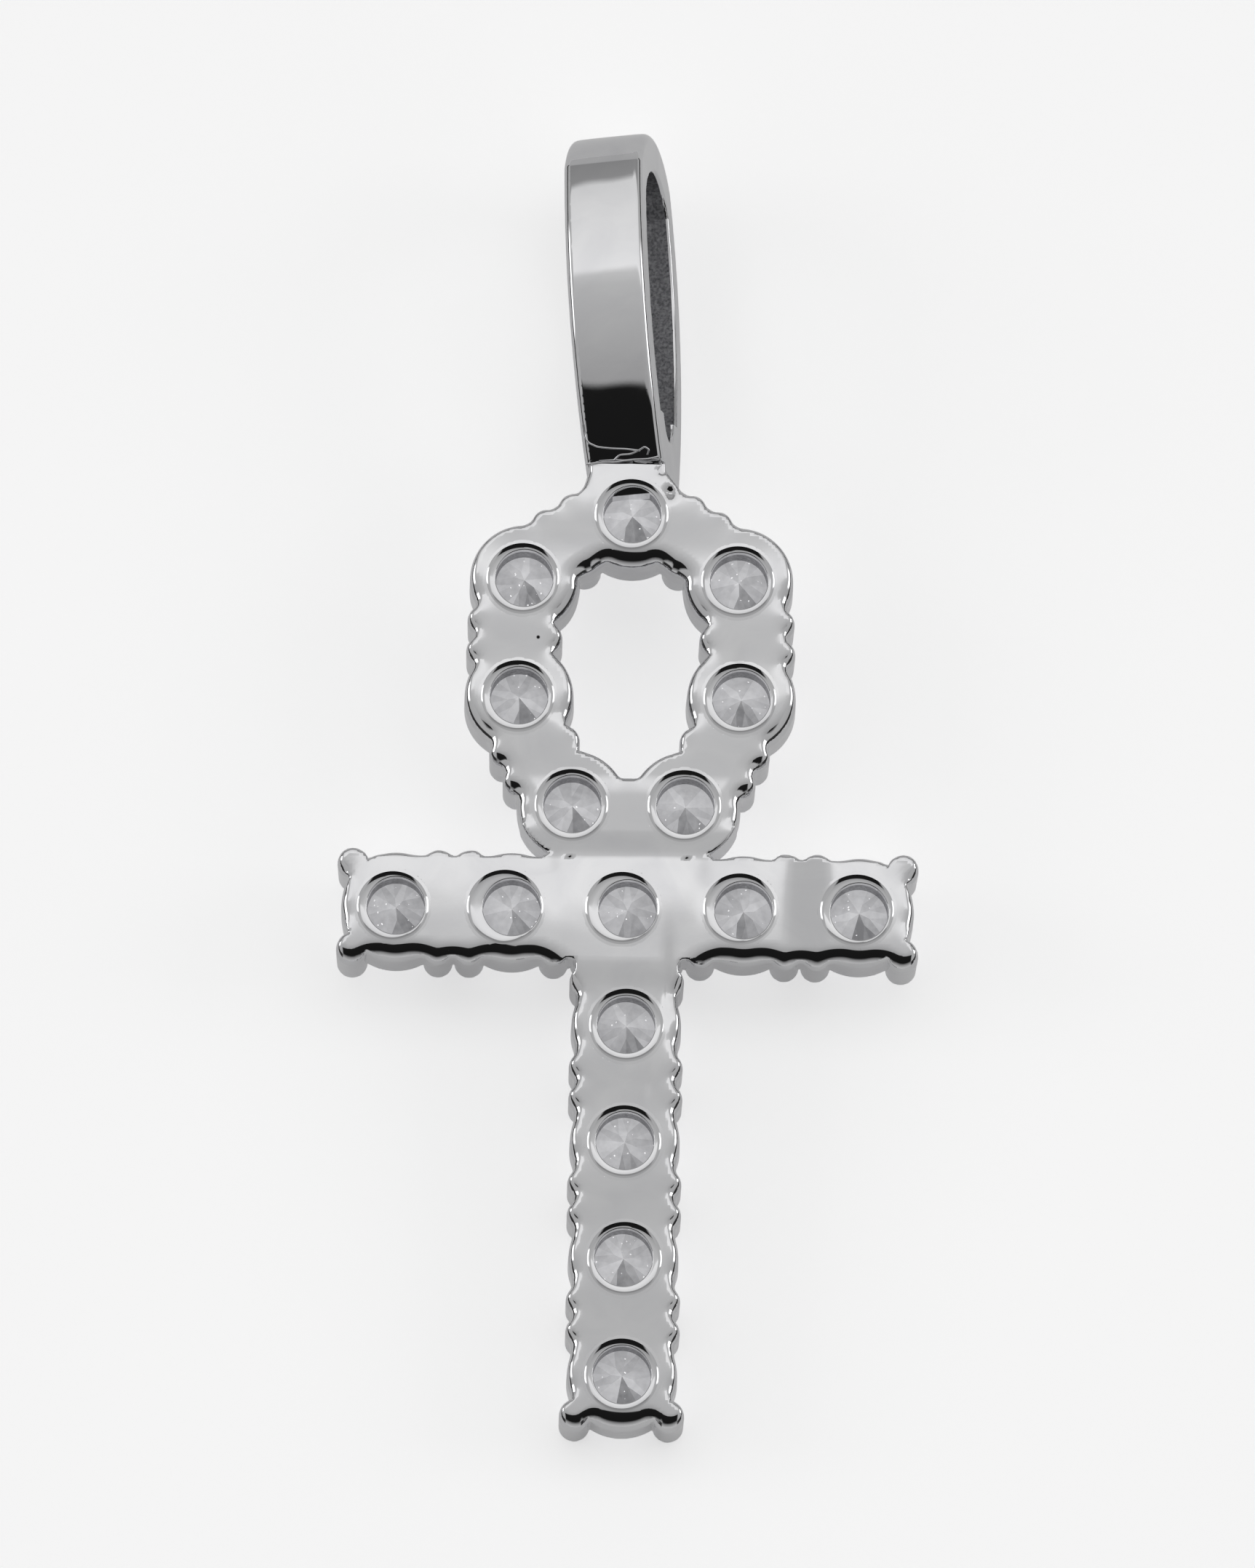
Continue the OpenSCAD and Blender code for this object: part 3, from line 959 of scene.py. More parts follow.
@dataclass(frozen=True)
class BurrDishes:
    """The shallow dishes that a ball burr left round the windows, each a little off its middle."""

    layout: Layout
    steep: float = math.radians(34.0)    # slope just inside a dish's edge
    ledge: float = math.radians(3.0)     # slope of its floor
    fillet: float = 0.26
    # How far the burr ran off the middle of each window, and its radius: loop, bar, stem
    cuts: tuple[tuple[float, float, float], ...] = (
        (-0.04, -0.06, 1.46), (-0.05, -0.05, 1.46), (-0.06, -0.04, 1.45), (-0.04, -0.05, 1.47),
        (-0.05, -0.06, 1.46), (-0.07, -0.05, 1.45), (-0.05, -0.04, 1.46),
        (-0.12, -0.05, 1.42), (-0.27, -0.02, 1.51), (-0.22, 0.00, 1.47), (-0.16, 0.02, 1.45),
        (-0.10, 0.03, 1.46),
        (0.00, -0.05, 1.47), (-0.03, -0.06, 1.46), (0.04, -0.07, 1.47), (-0.02, -0.04, 1.46))

    def inside(self, x: Array, y: Array) -> Array:
        """How far inside the nearest dish's edge each place lies.

        Args:
            x: x of each place.
            y: y of each place.

        Returns:
            The distances, negative outside the dishes.
        """
        best = np.full(np.broadcast(x, y).shape, -np.inf)
        for (across, up), (ex, ey, radius) in zip(self.layout.every(), self.cuts):
            best = np.maximum(best, radius - np.hypot(x - across - ex, y - up - ey))
        return best

    def drop(self, inside: Array) -> Array:
        """Depth of a dish by how far inside its edge a place lies.

        Args:
            inside: distances from the edge towards the middle.

        Returns:
            Depths below the polished back.
        """
        start, floor = math.tan(self.steep), math.tan(self.ledge)
        s = np.clip(inside, 0, self.fillet)
        return (s * start - s ** 2 * (start - floor) / (2 * self.fillet)
                + np.clip(inside - self.fillet, 0, None) * floor)


@dataclass
class CupFrame:
    """The cups, the bars between them and the prongs, all one casting with a polished back."""

    rest: Resting
    layout: Layout
    prongs: Prongs
    dishes: BurrDishes
    finishes: Finishes
    cup_r: float = 2.24
    draft: float = 0.06        # how much narrower a cup is at the back
    rim_depth: float = 2.42    # how deep the cups reach
    rim_edge: float = 0.05     # round at their lower edge
    # The bars between the cups: half width, depth and lower round, and the loop's two sides
    web_half: float = 2.05
    web_depth: float = 1.9
    web_edge: float = 0.1
    loop_outer: float = 1.87
    loop_inner: float = 1.13
    prong_depth: float = 3.5   # how deep the prongs reach
    tip_round: float = 0.3
    # The block that the bail is soldered to, from inside the top cup up to the bail's foot
    neck_x: float = -0.29
    neck_half: float = 1.5
    neck_from: float = 15.0
    neck_y: float = 18.22
    neck_depth: float = 3.3
    neck_edge: float = 0.2
    neck_fillet: float = 0.5
    # Round of the back's edge by how far it faces the bail: the wheel ran towards the stem and
    # drew the edges on that side down more
    edge_rounds: tuple[tuple[float, float], ...] = (
        (-1.0, 0.95), (-0.4, 0.68), (0.0, 0.42), (0.5, 0.26), (1.0, 0.18))
    # Share of the wide droop inside the edge, by the same facing
    edge_droops: tuple[tuple[float, float], ...] = (
        (-1.0, 1.0), (-0.4, 0.6), (0.0, 0.15), (1.0, 0.0))
    droop_width: float = 1.1   # how far in from the edge the droop reaches
    droop_r: float = 5.0       # radius that it bends down by
    edge_shift: float = 0.16   # how far a full droop draws the round out past the outline
    # Half the width of the notches that the wheel bridges, on the crossbar and elsewhere, and
    # how far up and down the crossbar's share fades
    bar_fill: float = 1.8
    fill: float = 0.5
    fill_fade: tuple[float, float] = (3.6, 2.8)
    rim_round: float = 0.1     # round at the edge of each scallop
    crease: float = 0.09       # fillet that polishing leaves in the creases
    # Depth below the back and radius of the room that a stone lies in, with a seat for each rim
    room_depths: tuple[float, ...] = (-1.0, 1.52, 2.27, 2.40, 3.50)
    room_radii: tuple[float, ...] = (1.19, 1.19, 2.03, 2.03, 1.12)
    # How far the plain dish lies below the finely turned rim on it, and where it goes down
    under: float = 0.02
    under_fade: tuple[float, float] = (-0.1, 0.02)
    # Low swells that the wheel left in the back: x, y, their two half widths, and height
    swells: tuple[tuple[float, float, float, float, float], ...] = (
        (-8.2, 0.6, 3.0, 2.2, 0.020), (-3.2, -0.4, 2.6, 2.4, 0.025), (2.4, 0.5, 2.8, 2.2, 0.020),
        (8.4, -0.3, 2.8, 2.4, 0.020), (0.4, 2.4, 2.0, 1.6, -0.012), (0.0, 15.9, 3.0, 2.2, 0.012))
    # Dents on the stem, below and round the loop, and at the neck, where the wheel dug in
    dents: tuple[tuple[float, float, float, float, float], ...] = (
        (1.66, -3.2, 0.22, 1.4, 0.08), (0.9, -7.0, 0.14, 0.5, 0.010),
        (-2.9, 1.2, 0.3, 1.0, 0.012), (3.0, 0.9, 0.35, 1.1, 0.014), (1.17, 17.85, 0.16, 0.15, 0.09),
        (1.50, 16.95, 0.2, 0.22, 0.13), (-3.4, 7.9, 0.9, 0.2, 0.006), (4.3, 9.5, 0.25, 0.9, 0.012))
    # Waves of one stone's pitch along the stem and the loop: height, a y where each is level,
    # and the two y between which each sets in
    wave: float = 0.009
    stem_wave_y: float = -7.0
    loop_wave_y: float = 11.0
    stem_fade: tuple[float, float] = (-2.0, -3.5)
    loop_fade: tuple[float, float] = (4.5, 5.5)
    # Slope across the crossbar, and of the band across its right arm that leans the other way
    bar_slope: float = 0.018
    band_slope: float = 0.06
    band_x: float = 7.2
    band_half: float = 0.85
    bar_fade: tuple[float, float] = (3.2, 2.0)
    taken_off: float = 0.02    # what polishing took off the whole back
    # Spans and spacing of the plan's maps, and how far each map is blurred
    map_x: tuple[float, float] = (-13.8, 13.8)
    map_y: tuple[float, float] = (-23.8, 21.0)
    map_step: float = 0.04
    edge_blur: float = 0.06
    deep_blur: float = 0.24
    facing_blur: float = 0.12
    round_blur: float = 0.15
    droop_blur: float = 0.2
    edge_fade: tuple[float, float] = (0.03, 0.2)     # depths where the first blur sets in
    deep_fade: tuple[float, float] = (0.15, 0.8)     # and the second one
    # Spans and spacing of the grid that the metal is carved on, finest at the polished back
    spacing: float = 0.125
    grid_x: tuple[float, float] = (-12.0, 12.0)
    grid_y: tuple[float, float] = (-21.9, 18.9)
    grid_z: tuple[tuple[float, float, float], ...] = (
        (-3.85, -2.6, 0.16), (-2.6, -0.9, 0.19), (-0.9, 0.3, 0.1))
    reach: float = 0.06
    # The cups' insides are cast skin so far in from their outsides, and below this depth
    cast_in: float = 0.13
    cast_depth: float = 0.62
    depths: PlanMap = field(init=False)
    rounds: PlanMap = field(init=False)
    droops: PlanMap = field(init=False)

    def __post_init__(self) -> None:
        """Maps the plan once, so that each point's place can be read quickly.

        The maps hold the depth inside the bridged outline, the edge's round and its droop.
        """
        xs, ys = (np.arange(*span, self.map_step) for span in (self.map_x, self.map_y))
        fine, wide = (true_depth(lambda x, y, f=fill: self.plan(x, y) - f, xs, ys) + fill
                      for fill in (self.fill, self.bar_fill))
        on_bar = eased(*self.fill_fade, np.abs(ys))[None, :]
        sharp = fine * (1 - on_bar) + wide * on_bar
        soft, softer = self.blurred(sharp, self.edge_blur), self.blurred(sharp, self.deep_blur)
        near, deep = eased(*self.edge_fade, -sharp), eased(*self.deep_fade, -sharp)
        mixed = (sharp * (1 - near) + soft * near) * (1 - deep) + softer * deep
        facing = np.gradient(self.blurred(sharp, self.facing_blur), self.map_step, axis=1)
        round_by = self.blurred(np.interp(facing, *zip(*self.edge_rounds)), self.round_blur)
        droop = self.blurred(np.interp(facing, *zip(*self.edge_droops)), self.droop_blur)
        self.rounds = self.mapped(round_by)
        self.droops = self.mapped(droop)
        self.depths = self.mapped(mixed - self.edge_shift * droop)

    def blurred(self, grid: Array, width: float) -> Array:
        """Blurs a grid on the plan's spacing by a width in millimetres."""
        return softened(grid, width / self.map_step)

    def mapped(self, grid: Array) -> PlanMap:
        """Makes a map of a grid on the plan's spans."""
        return PlanMap(self.map_x[0], self.map_y[0], self.map_step, grid)

    def back(self, x: Array, y: Array) -> Array:
        """Height of the polished back.

        Args:
            x: x of each point.
            y: y of each point.

        Returns:
            Heights above the flat back.
        """
        height = np.zeros(np.broadcast(x, y).shape)
        for sign, marks in ((1, self.swells), (-1, self.dents)):
            for across, up, wide, tall, rise in marks:
                bump = np.exp(-((x - across) / wide) ** 2 - ((y - up) / tall) ** 2)
                height = height + sign * rise * bump
        on_stem, on_loop = eased(*self.stem_fade, y), eased(*self.loop_fade, y)
        turn = 2 * math.pi / self.layout.stem_pitch
        height = height + self.wave * (on_stem * np.sin(turn * (y - self.stem_wave_y))
                                       + on_loop * np.sin(turn * (y - self.loop_wave_y)))
        on_bar = eased(*self.bar_fade, np.abs(y))
        on_band = np.exp(-((x - self.band_x) / self.band_half) ** 4)
        height = height - self.bar_slope * y * on_bar
        height = height + self.band_slope * y * on_band * on_bar
        deep = self.depths.at(x, y)
        worn = np.clip(self.droop_width + deep, 0, self.droop_width) ** 2 / (2 * self.droop_r)
        return height - self.taken_off - worn * self.droops.at(x, y)

    def dome(self, x: Array, y: Array) -> Array:
        """Height of the polished back with its rounded edge.

        Args:
            x: x of each point.
            y: y of each point.

        Returns:
            Heights above the flat back.
        """
        radius = self.rounds.at(x, y)
        over = np.clip(self.depths.at(x, y) + radius, 0, radius)
        return self.back(x, y) - radius + np.sqrt(radius ** 2 - over ** 2)

    def bars(self, x: Array, y: Array) -> Array:
        """Distance in plan to the bars between the cups.

        Args:
            x: x of each point.
            y: y of each point.

        Returns:
            The distances.
        """
        bar, stem, loop = self.layout.bar(), self.layout.stem(), self.layout.loop()
        middle, root = bar[self.layout.bar_side], loop[0]
        top = np.array([0.0, root[1] + self.prongs.crotch])
        best = strip(x, y, bar[0], bar[-1], self.web_half, self.web_half)
        best = np.minimum(best, strip(x, y, middle, stem[-1], self.web_half, self.web_half))
        best = np.minimum(best, strip(x, y, middle, top, -root[0], -root[0]))
        for a, b in zip(loop, loop[1:]):
            best = np.minimum(best, strip(x, y, a, b, self.loop_outer, self.loop_inner))
        return best

    def stalks(self, x: Array, y: Array) -> Array:
        """Distance in plan to the prongs.

        Args:
            x: x of each point.
            y: y of each point.

        Returns:
            The distances.
        """
        plain = nearest(x, y, self.prongs.plain()) - self.prongs.radius
        shared = nearest(x, y, self.prongs.shared()) - self.prongs.shared_radius
        ends = nearest(x, y, self.prongs.ends()) - self.prongs.end_radius
        return np.minimum(np.minimum(plain, shared), ends)

    def neck(self, x: Array, y: Array) -> Array:
        """Distance in plan to the block that the bail is soldered to."""
        low, high = (np.array([self.neck_x, up]) for up in (self.neck_from, self.neck_y))
        return strip(x, y, low, high, self.neck_half, self.neck_half)

    def plan(self, x: Array, y: Array) -> Array:
        """Distance in plan to the outline of the polished back.

        Args:
            x: x of each point.
            y: y of each point.

        Returns:
            The distances.
        """
        cups = nearest(x, y, self.layout.every()) - self.cup_r + self.draft
        body = np.minimum(np.minimum(cups, self.bars(x, y)), self.stalks(x, y))
        return soft_min(body, self.neck(x, y), self.neck_fillet)

    def distance(self, x: Array, y: Array, z: Array, under: float | None = None) -> Array:
        """Distance to the frame's metal.

        Args:
            x: x of each point.
            y: y of each point.
            z: height of each point above the flat back.
            under: how far the dishes lie below their rims, if not as built.

        Returns:
            The distances, negative inside the metal.
        """
        r = nearest(x, y, self.layout.every())
        cup = r - (self.cup_r - self.draft * np.clip(1 + z / self.rim_depth, 0, 1))
        cups = round_max(cup, -z - self.rim_depth, self.rim_edge)
        webs = round_max(self.bars(x, y), -z - self.web_depth, self.web_edge)
        tips = round_max(self.stalks(x, y), -z - self.prong_depth, self.tip_round)
        neck = round_max(self.neck(x, y), -z - self.neck_depth, self.neck_edge)
        body = soft_min(cups, webs, self.crease)
        body = soft_min(body, tips, self.crease)
        body = soft_min(body, neck, self.neck_fillet)
        inside = self.dishes.inside(x, y)
        under = self.under if under is None else under
        drop = self.dishes.drop(inside) + under * eased(*self.under_fade, inside)
        dome = round_max(self.depths.at(x, y), z + drop - self.back(x, y), self.rounds.at(x, y))
        body = round_max(body, dome, self.rim_round)
        room = np.interp(-z, self.room_depths, self.room_radii, right=NO_ROOM)
        return np.maximum(body, ROOM_SHARE * (room - r))

    def build(self) -> bpy.types.Object:
        """Makes the frame, which stands for the setting below the bail.

        Returns:
            The finished piece.
        """
        axes = (lines((*self.grid_x, self.spacing)), lines((*self.grid_y, self.spacing)),
                lines(*self.grid_z))
        points, faces, normals = carve(self.distance, axes, self.reach,
                                       lambda x, y, z: self.distance(x, y, z, 0.0))
        x, y, z = points[faces].mean(1).T
        inner = (nearest(x, y, self.layout.every()) < self.cup_r - self.cast_in) & (
            z < -self.cast_depth)
        log.info("cup frame: %d faces, %d of them cast skin", len(faces), int(inner.sum()))
        made = skin_object("cup_frame", self.rest.laid(points), faces, self.rest.turned(normals),
                           [self.finishes.mirror, self.finishes.cast], inner)
        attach(made, "root")
        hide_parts("setting")
        return made


@dataclass
class WindowRims:
    """The dished rims round the windows behind the stones, each opened by hand with a ball burr."""

    frame: CupFrame
    turns: int = 96            # points round each rim
    window_r: float = 1.15
    lip: float = 0.13          # width of the lip that the burr raised round a dish
    lip_rise: float = 0.0012   # its height at the dish's edge
    # Steps of the fine rows in from the dish's edge, and shares of the rest of the way in
    fine: tuple[float, ...] = (0.012, 0.04, 0.08, 0.13, 0.19, 0.26)
    rest_shares: tuple[float, ...] = (0.25, 0.5, 0.75, 1.0)
    crowding: float = 0.9      # the most of the way in that a fine row may take
    inner_round: float = 0.05
    inner_turns: tuple[float, ...] = (22.5, 45.0, 67.5, 90.0)
    # Radius and height of the rows down the window's wall and back up inside the metal
    wall_heights: tuple[float, ...] = (-0.45, -0.95, -1.5)
    foot: float = 0.1
    shelf_r: float = 1.3
    shelf_z: float = -0.6
    thickness: float = 0.05
    cast_depth: float = 0.42   # below this depth the wall is cast skin
    sharp_angle: float = 24.0  # edges that turn by more degrees are shaded sharp

    def drop(self, inside: Array) -> Array:
        """Depth of the rim's face, negative on the lip that the burr raised at the dish's edge."""
        lip = np.where(inside < 0, 1 + 2 * inside / self.lip, 1.0) * self.lip_rise
        return self.frame.dishes.drop(inside) - lip

    def ring(self, window: Array, dish: tuple[float, float, float]) -> Array:
        """Points of one closed rim, by row and turn.

        Args:
            window: the window's middle in plan.
            dish: offset and radius of its dish.

        Returns:
            Points as rows, turns and x, y, z.
        """
        q = np.arange(self.turns) * 2 * math.pi / self.turns
        ux, uy = np.cos(q), np.sin(q)
        ex, ey, radius = dish
        along = ex * ux + ey * uy
        edge = along + np.sqrt(radius ** 2 - (ex ** 2 + ey ** 2) + along ** 2)
        start = self.window_r + self.inner_round
        reach = edge - start

        def row(r: Array | float, z: Array | float) -> Array:
            """One turn of points at a radius and a height."""
            level = np.broadcast_to(z, self.turns)
            return np.stack([window[0] + r * ux, window[1] + r * uy, level], 1)

        offsets = [np.full(self.turns, share * self.lip) for share in (1.0, 0.5, 0.0)]
        offsets += [-np.minimum(part, self.crowding * reach) for part in self.fine]
        last = offsets[-1]
        offsets += [last + (-reach - last) * share for share in self.rest_shares]
        rows = []
        for offset in offsets:
            x, y, _ = row(edge + offset, 0.0).T
            inside = radius - np.hypot(x - window[0] - ex, y - window[1] - ey)
            rows.append(row(edge + offset, self.frame.dome(x, y) - self.drop(inside)))
        top = rows[-1][:, 2]
        for turn in map(math.radians, self.inner_turns):
            rows.append(row(start - self.inner_round * math.sin(turn),
                            top - self.inner_round * (1 - math.cos(turn))))
        rows += [row(self.window_r, z) for z in self.wall_heights]
        rows += [row(self.window_r + self.foot, self.wall_heights[-1]),
                 row(self.shelf_r, self.shelf_z), rows[0] - [0, 0, self.thickness]]
        return np.stack(rows)

    def build(self) -> bpy.types.Object:
        """Makes all the rims as one piece, which stands for the setting round the windows.

        Returns:
            The finished piece.
        """
        rings = [self.ring(w, d) for w, d in zip(self.frame.layout.every(), self.frame.dishes.cuts)]
        count = len(rings[0])
        row, turn = np.meshgrid(np.arange(count), np.arange(self.turns), indexing="ij")
        nxt, side = (row + 1) % count, (turn + 1) % self.turns
        quads = np.stack([row * self.turns + turn, row * self.turns + side,
                          nxt * self.turns + side, nxt * self.turns + turn], 2).reshape(-1, 4)
        points = np.concatenate([ring.reshape(-1, 3) for ring in rings])
        faces = np.concatenate([quads + k * count * self.turns for k in range(len(rings))])
        mesh = bpy.data.meshes.new("window_rims")
        mesh.from_pydata(self.frame.rest.laid(points).tolist(), [], faces.tolist())
        mesh.materials.append(self.frame.finishes.mirror)
        mesh.materials.append(self.frame.finishes.cast)
        deep = points[faces][:, :, 2].mean(1) < -self.cast_depth
        mesh.polygons.foreach_set("material_index", deep.astype(np.int32))
        mesh.polygons.foreach_set("use_smooth", np.ones(len(faces), bool))
        mesh.set_sharp_from_angle(angle=math.radians(self.sharp_angle))
        made = in_scene("window_rims", mesh)
        log.info("window rims: %d faces", len(faces))
        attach(made, "root")
        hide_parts("setting")
        return made


@dataclass
class Bail:
    """The tall band that the chain runs through, soldered to the loop's top cup."""

    rest: Resting
    finishes: Finishes
    height: float = 13.8       # above the foot
    depth: float = 7.4         # at the belly
    width: float = 3.2
    wall: float = 1.1
    top_wall: float = 1.6
    foot_depth: float = 3.9    # depth of the outline at the foot
    sink: float = 1.25         # how far the band goes on below its foot
    sill: float = 1.1          # height of the way's lowest point
    bevel: float = 0.3         # round of the band's long edges
    lean: float = 3.6          # degrees to the left, as seen from the back
    turn: float = 12.1         # degrees about its own length
    foot_y: float = 18.19      # where the foot stands on the plate
    mid_depth: float = 1.75    # how far below the flat back the band's middle lies
    belly_share: float = 0.55  # height of the belly, as a share of the whole
    sill_round: float = 1.1    # round of the way's low end, as a share of its half depth there
    way_edge: float = 0.13     # round where the chain's way opens
    swell: float = 0.035       # how much lower the band's faces lie at its edges
    small_d: float = 1.7       # diameter of the small stones in the front wall
    small_gap: float = 0.28    # between them
    # Room of a small stone: distance out from the way's face, and radius there
    room_outs: tuple[float, ...] = (-0.5, 0.407, 0.8025, 0.875, 1.63)
    room_radii: tuple[float, ...] = (0.42, 0.42, 0.88, 0.88, 0.476)
    # Over the plate the band is cut off so far below the back, with a small round
    cut_depth: float = 0.05
    cut_round: float = 0.06
    # Spans and spacing of the grid that the metal is carved on: up, deep and across
    spacing: float = 0.1
    grid: tuple[tuple[float, float], ...] = ((-1.6, 13.9), (-3.95, 3.95), (-1.9, 1.9))
    reach: float = 0.05
    # Cast skin in the way: how deep into its walls it counts, how far in from the band's edges
    # it begins, and how far behind the way's middle and past its top it ends
    cast_in: float = 0.3
    cast_edge: float = 0.2
    cast_back: float = 0.6
    cast_top: float = 0.3
    belly: float = field(init=False)
    side_r: float = field(init=False)
    side_off: float = field(init=False)
    top_mid: float = field(init=False)

    def __post_init__(self) -> None:
        """Works out the two wide arcs that the outline is made of.

        They meet the foot's depth below and the full depth at the belly.
        """
        self.belly = self.belly_share * self.height
        sag = (self.depth - self.foot_depth) / 2
        self.side_r = (self.belly ** 2 + sag ** 2) / (2 * sag)
        self.side_off = self.side_r - self.depth / 2
        self.top_mid = self.height - self.depth / 2

    def stand(self) -> Array:
        """Works out how the band stands on the plate.

        Returns:
            The turn from the bail's own frame to the plate's.
        """
        q, t = math.radians(self.lean), math.radians(self.turn)
        lean = np.array([[math.cos(q), -math.sin(q), 0], [math.sin(q), math.cos(q), 0], [0, 0, 1]])
        turn = np.array([[math.cos(t), 0, -math.sin(t)], [0, 1, 0], [math.sin(t), 0, math.cos(t)]])
        upright = np.array([[0.0, 0, 1], [1, 0, 0], [0, 1, 0]])
        return lean @ turn @ upright

    def on_plate(self, points: Array) -> Array:
        """Takes points from the bail's own frame to the plate's."""
        return points @ self.stand().T + [0, self.foot_y, -self.mid_depth]

    def small_steps(self) -> Array:
        """Spreads the small stones evenly up the front wall.

        Returns:
            Each one's angle up the wall from its belly, in radians.
        """
        pitch = self.small_d + self.small_gap
        low = self.sill + self.small_gap
        high = self.top_mid + self.depth / 4
        count = math.floor((high - low) / pitch)
        step = pitch / self.side_r
        mid = math.asin(((low + high) / 2 - self.belly) / self.side_r)
        return mid + step * (np.arange(count) - (count - 1) / 2)

    def front_spots(self, angles: Array, lift: float) -> tuple[Array, Array]:
        """Places on the front wall, and the wall's outward direction there.

        Args:
            angles: angles up the wall from its belly.
            lift: how far the places stand out of the wall.

        Returns:
            Rows of height, depth and width, and rows of directions.
        """
        out = np.stack([np.sin(angles), -np.cos(angles), np.zeros(len(angles))], 1)
        return [self.belly, self.side_off, 0] + out * (self.side_r + lift), out

    def outline(self, up: Array, deep: Array, in_by: float, top_y: float = math.inf,
                top_r: float = 0.0) -> Array:
        """Distance to the bail's outline, or to one that stands inside it.

        Args:
            up: height above the foot.
            deep: depth from the bail's middle.
            in_by: how far inside the side arcs stand.
            top_y: height of the round top's middle, if it has one.
            top_r: radius of the round top.

        Returns:
            The distances.
        """
        arcs = np.maximum(np.hypot(up - self.belly, deep - self.side_off),
                          np.hypot(up - self.belly, deep + self.side_off)) - (self.side_r - in_by)
        return np.where(up > top_y, np.maximum(arcs, np.hypot(up - top_y, deep) - top_r), arcs)

    def distance(self, up: Array, deep: Array, across: Array) -> Array:
        """Distance to the bail's metal, in its own frame.

        Args:
            up: height above the foot.
            deep: depth, towards the back.
            across: width from the middle of the band.

        Returns:
            The distances, negative inside the metal.
        """
        swell = self.swell * (across / (self.width / 2)) ** 4
        out = self.outline(up, deep, 0.0, self.top_mid, self.depth / 2) + swell
        body = round_max(out, np.abs(across) - self.width / 2, self.bevel)
        top_in = self.depth / 2 - self.wall
        way = self.outline(up, deep, self.wall, self.height - self.top_wall - top_in, top_in)
        low_r = self.sill_round * (self.foot_depth / 2 - self.wall)
        way = np.where(up < self.sill + low_r,
                       np.hypot(up - self.sill - low_r, deep) - low_r, way)
        body = round_max(body, -way, self.way_edge)
        for angle in self.small_steps():
            s, c = math.sin(angle), math.cos(angle)
            du, dv = up - self.belly, deep - self.side_off
            outwards = du * s - dv * c - self.side_r + self.wall
            aside = np.hypot(du * c + dv * s, across)
            room = np.interp(outwards, self.room_outs, self.room_radii, left=NO_ROOM)
            body = np.maximum(body, ROOM_SHARE * (room - aside))
        spin = self.stand()
        plate_y = up * spin[1, 0] + deep * spin[1, 1] + across * spin[1, 2] + self.foot_y
        plate_z = up * spin[2, 0] + deep * spin[2, 1] + across * spin[2, 2] - self.mid_depth
        over_plate = np.minimum(plate_z + self.cut_depth, self.foot_y - plate_y)
        return np.maximum(round_max(body, over_plate, self.cut_round), -self.sink - up)

    def build(self) -> bpy.types.Object:
        """Makes the band, which stands for the setting's upper part.

        Returns:
            The finished piece.
        """
        axes = tuple(lines((*span, self.spacing)) for span in self.grid)
        points, faces, normals = carve(self.distance, axes, self.reach)
        up, deep, across = points[faces].mean(1).T
        inner = ((self.outline(up, deep, self.wall) < self.cast_in)
                 & (np.abs(across) < self.width / 2 - self.cast_edge)
                 & (deep < self.cast_back)
                 & (up < self.height - self.top_wall + self.cast_top))
        log.info("bail: %d faces", len(faces))
        made = skin_object("bail_band", self.rest.laid(self.on_plate(points)), faces,
                           self.rest.turned(normals @ self.stand().T),
                           [self.finishes.mirror, self.finishes.cast], inner)
        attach(made, "root")
        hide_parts("setting")
        return made


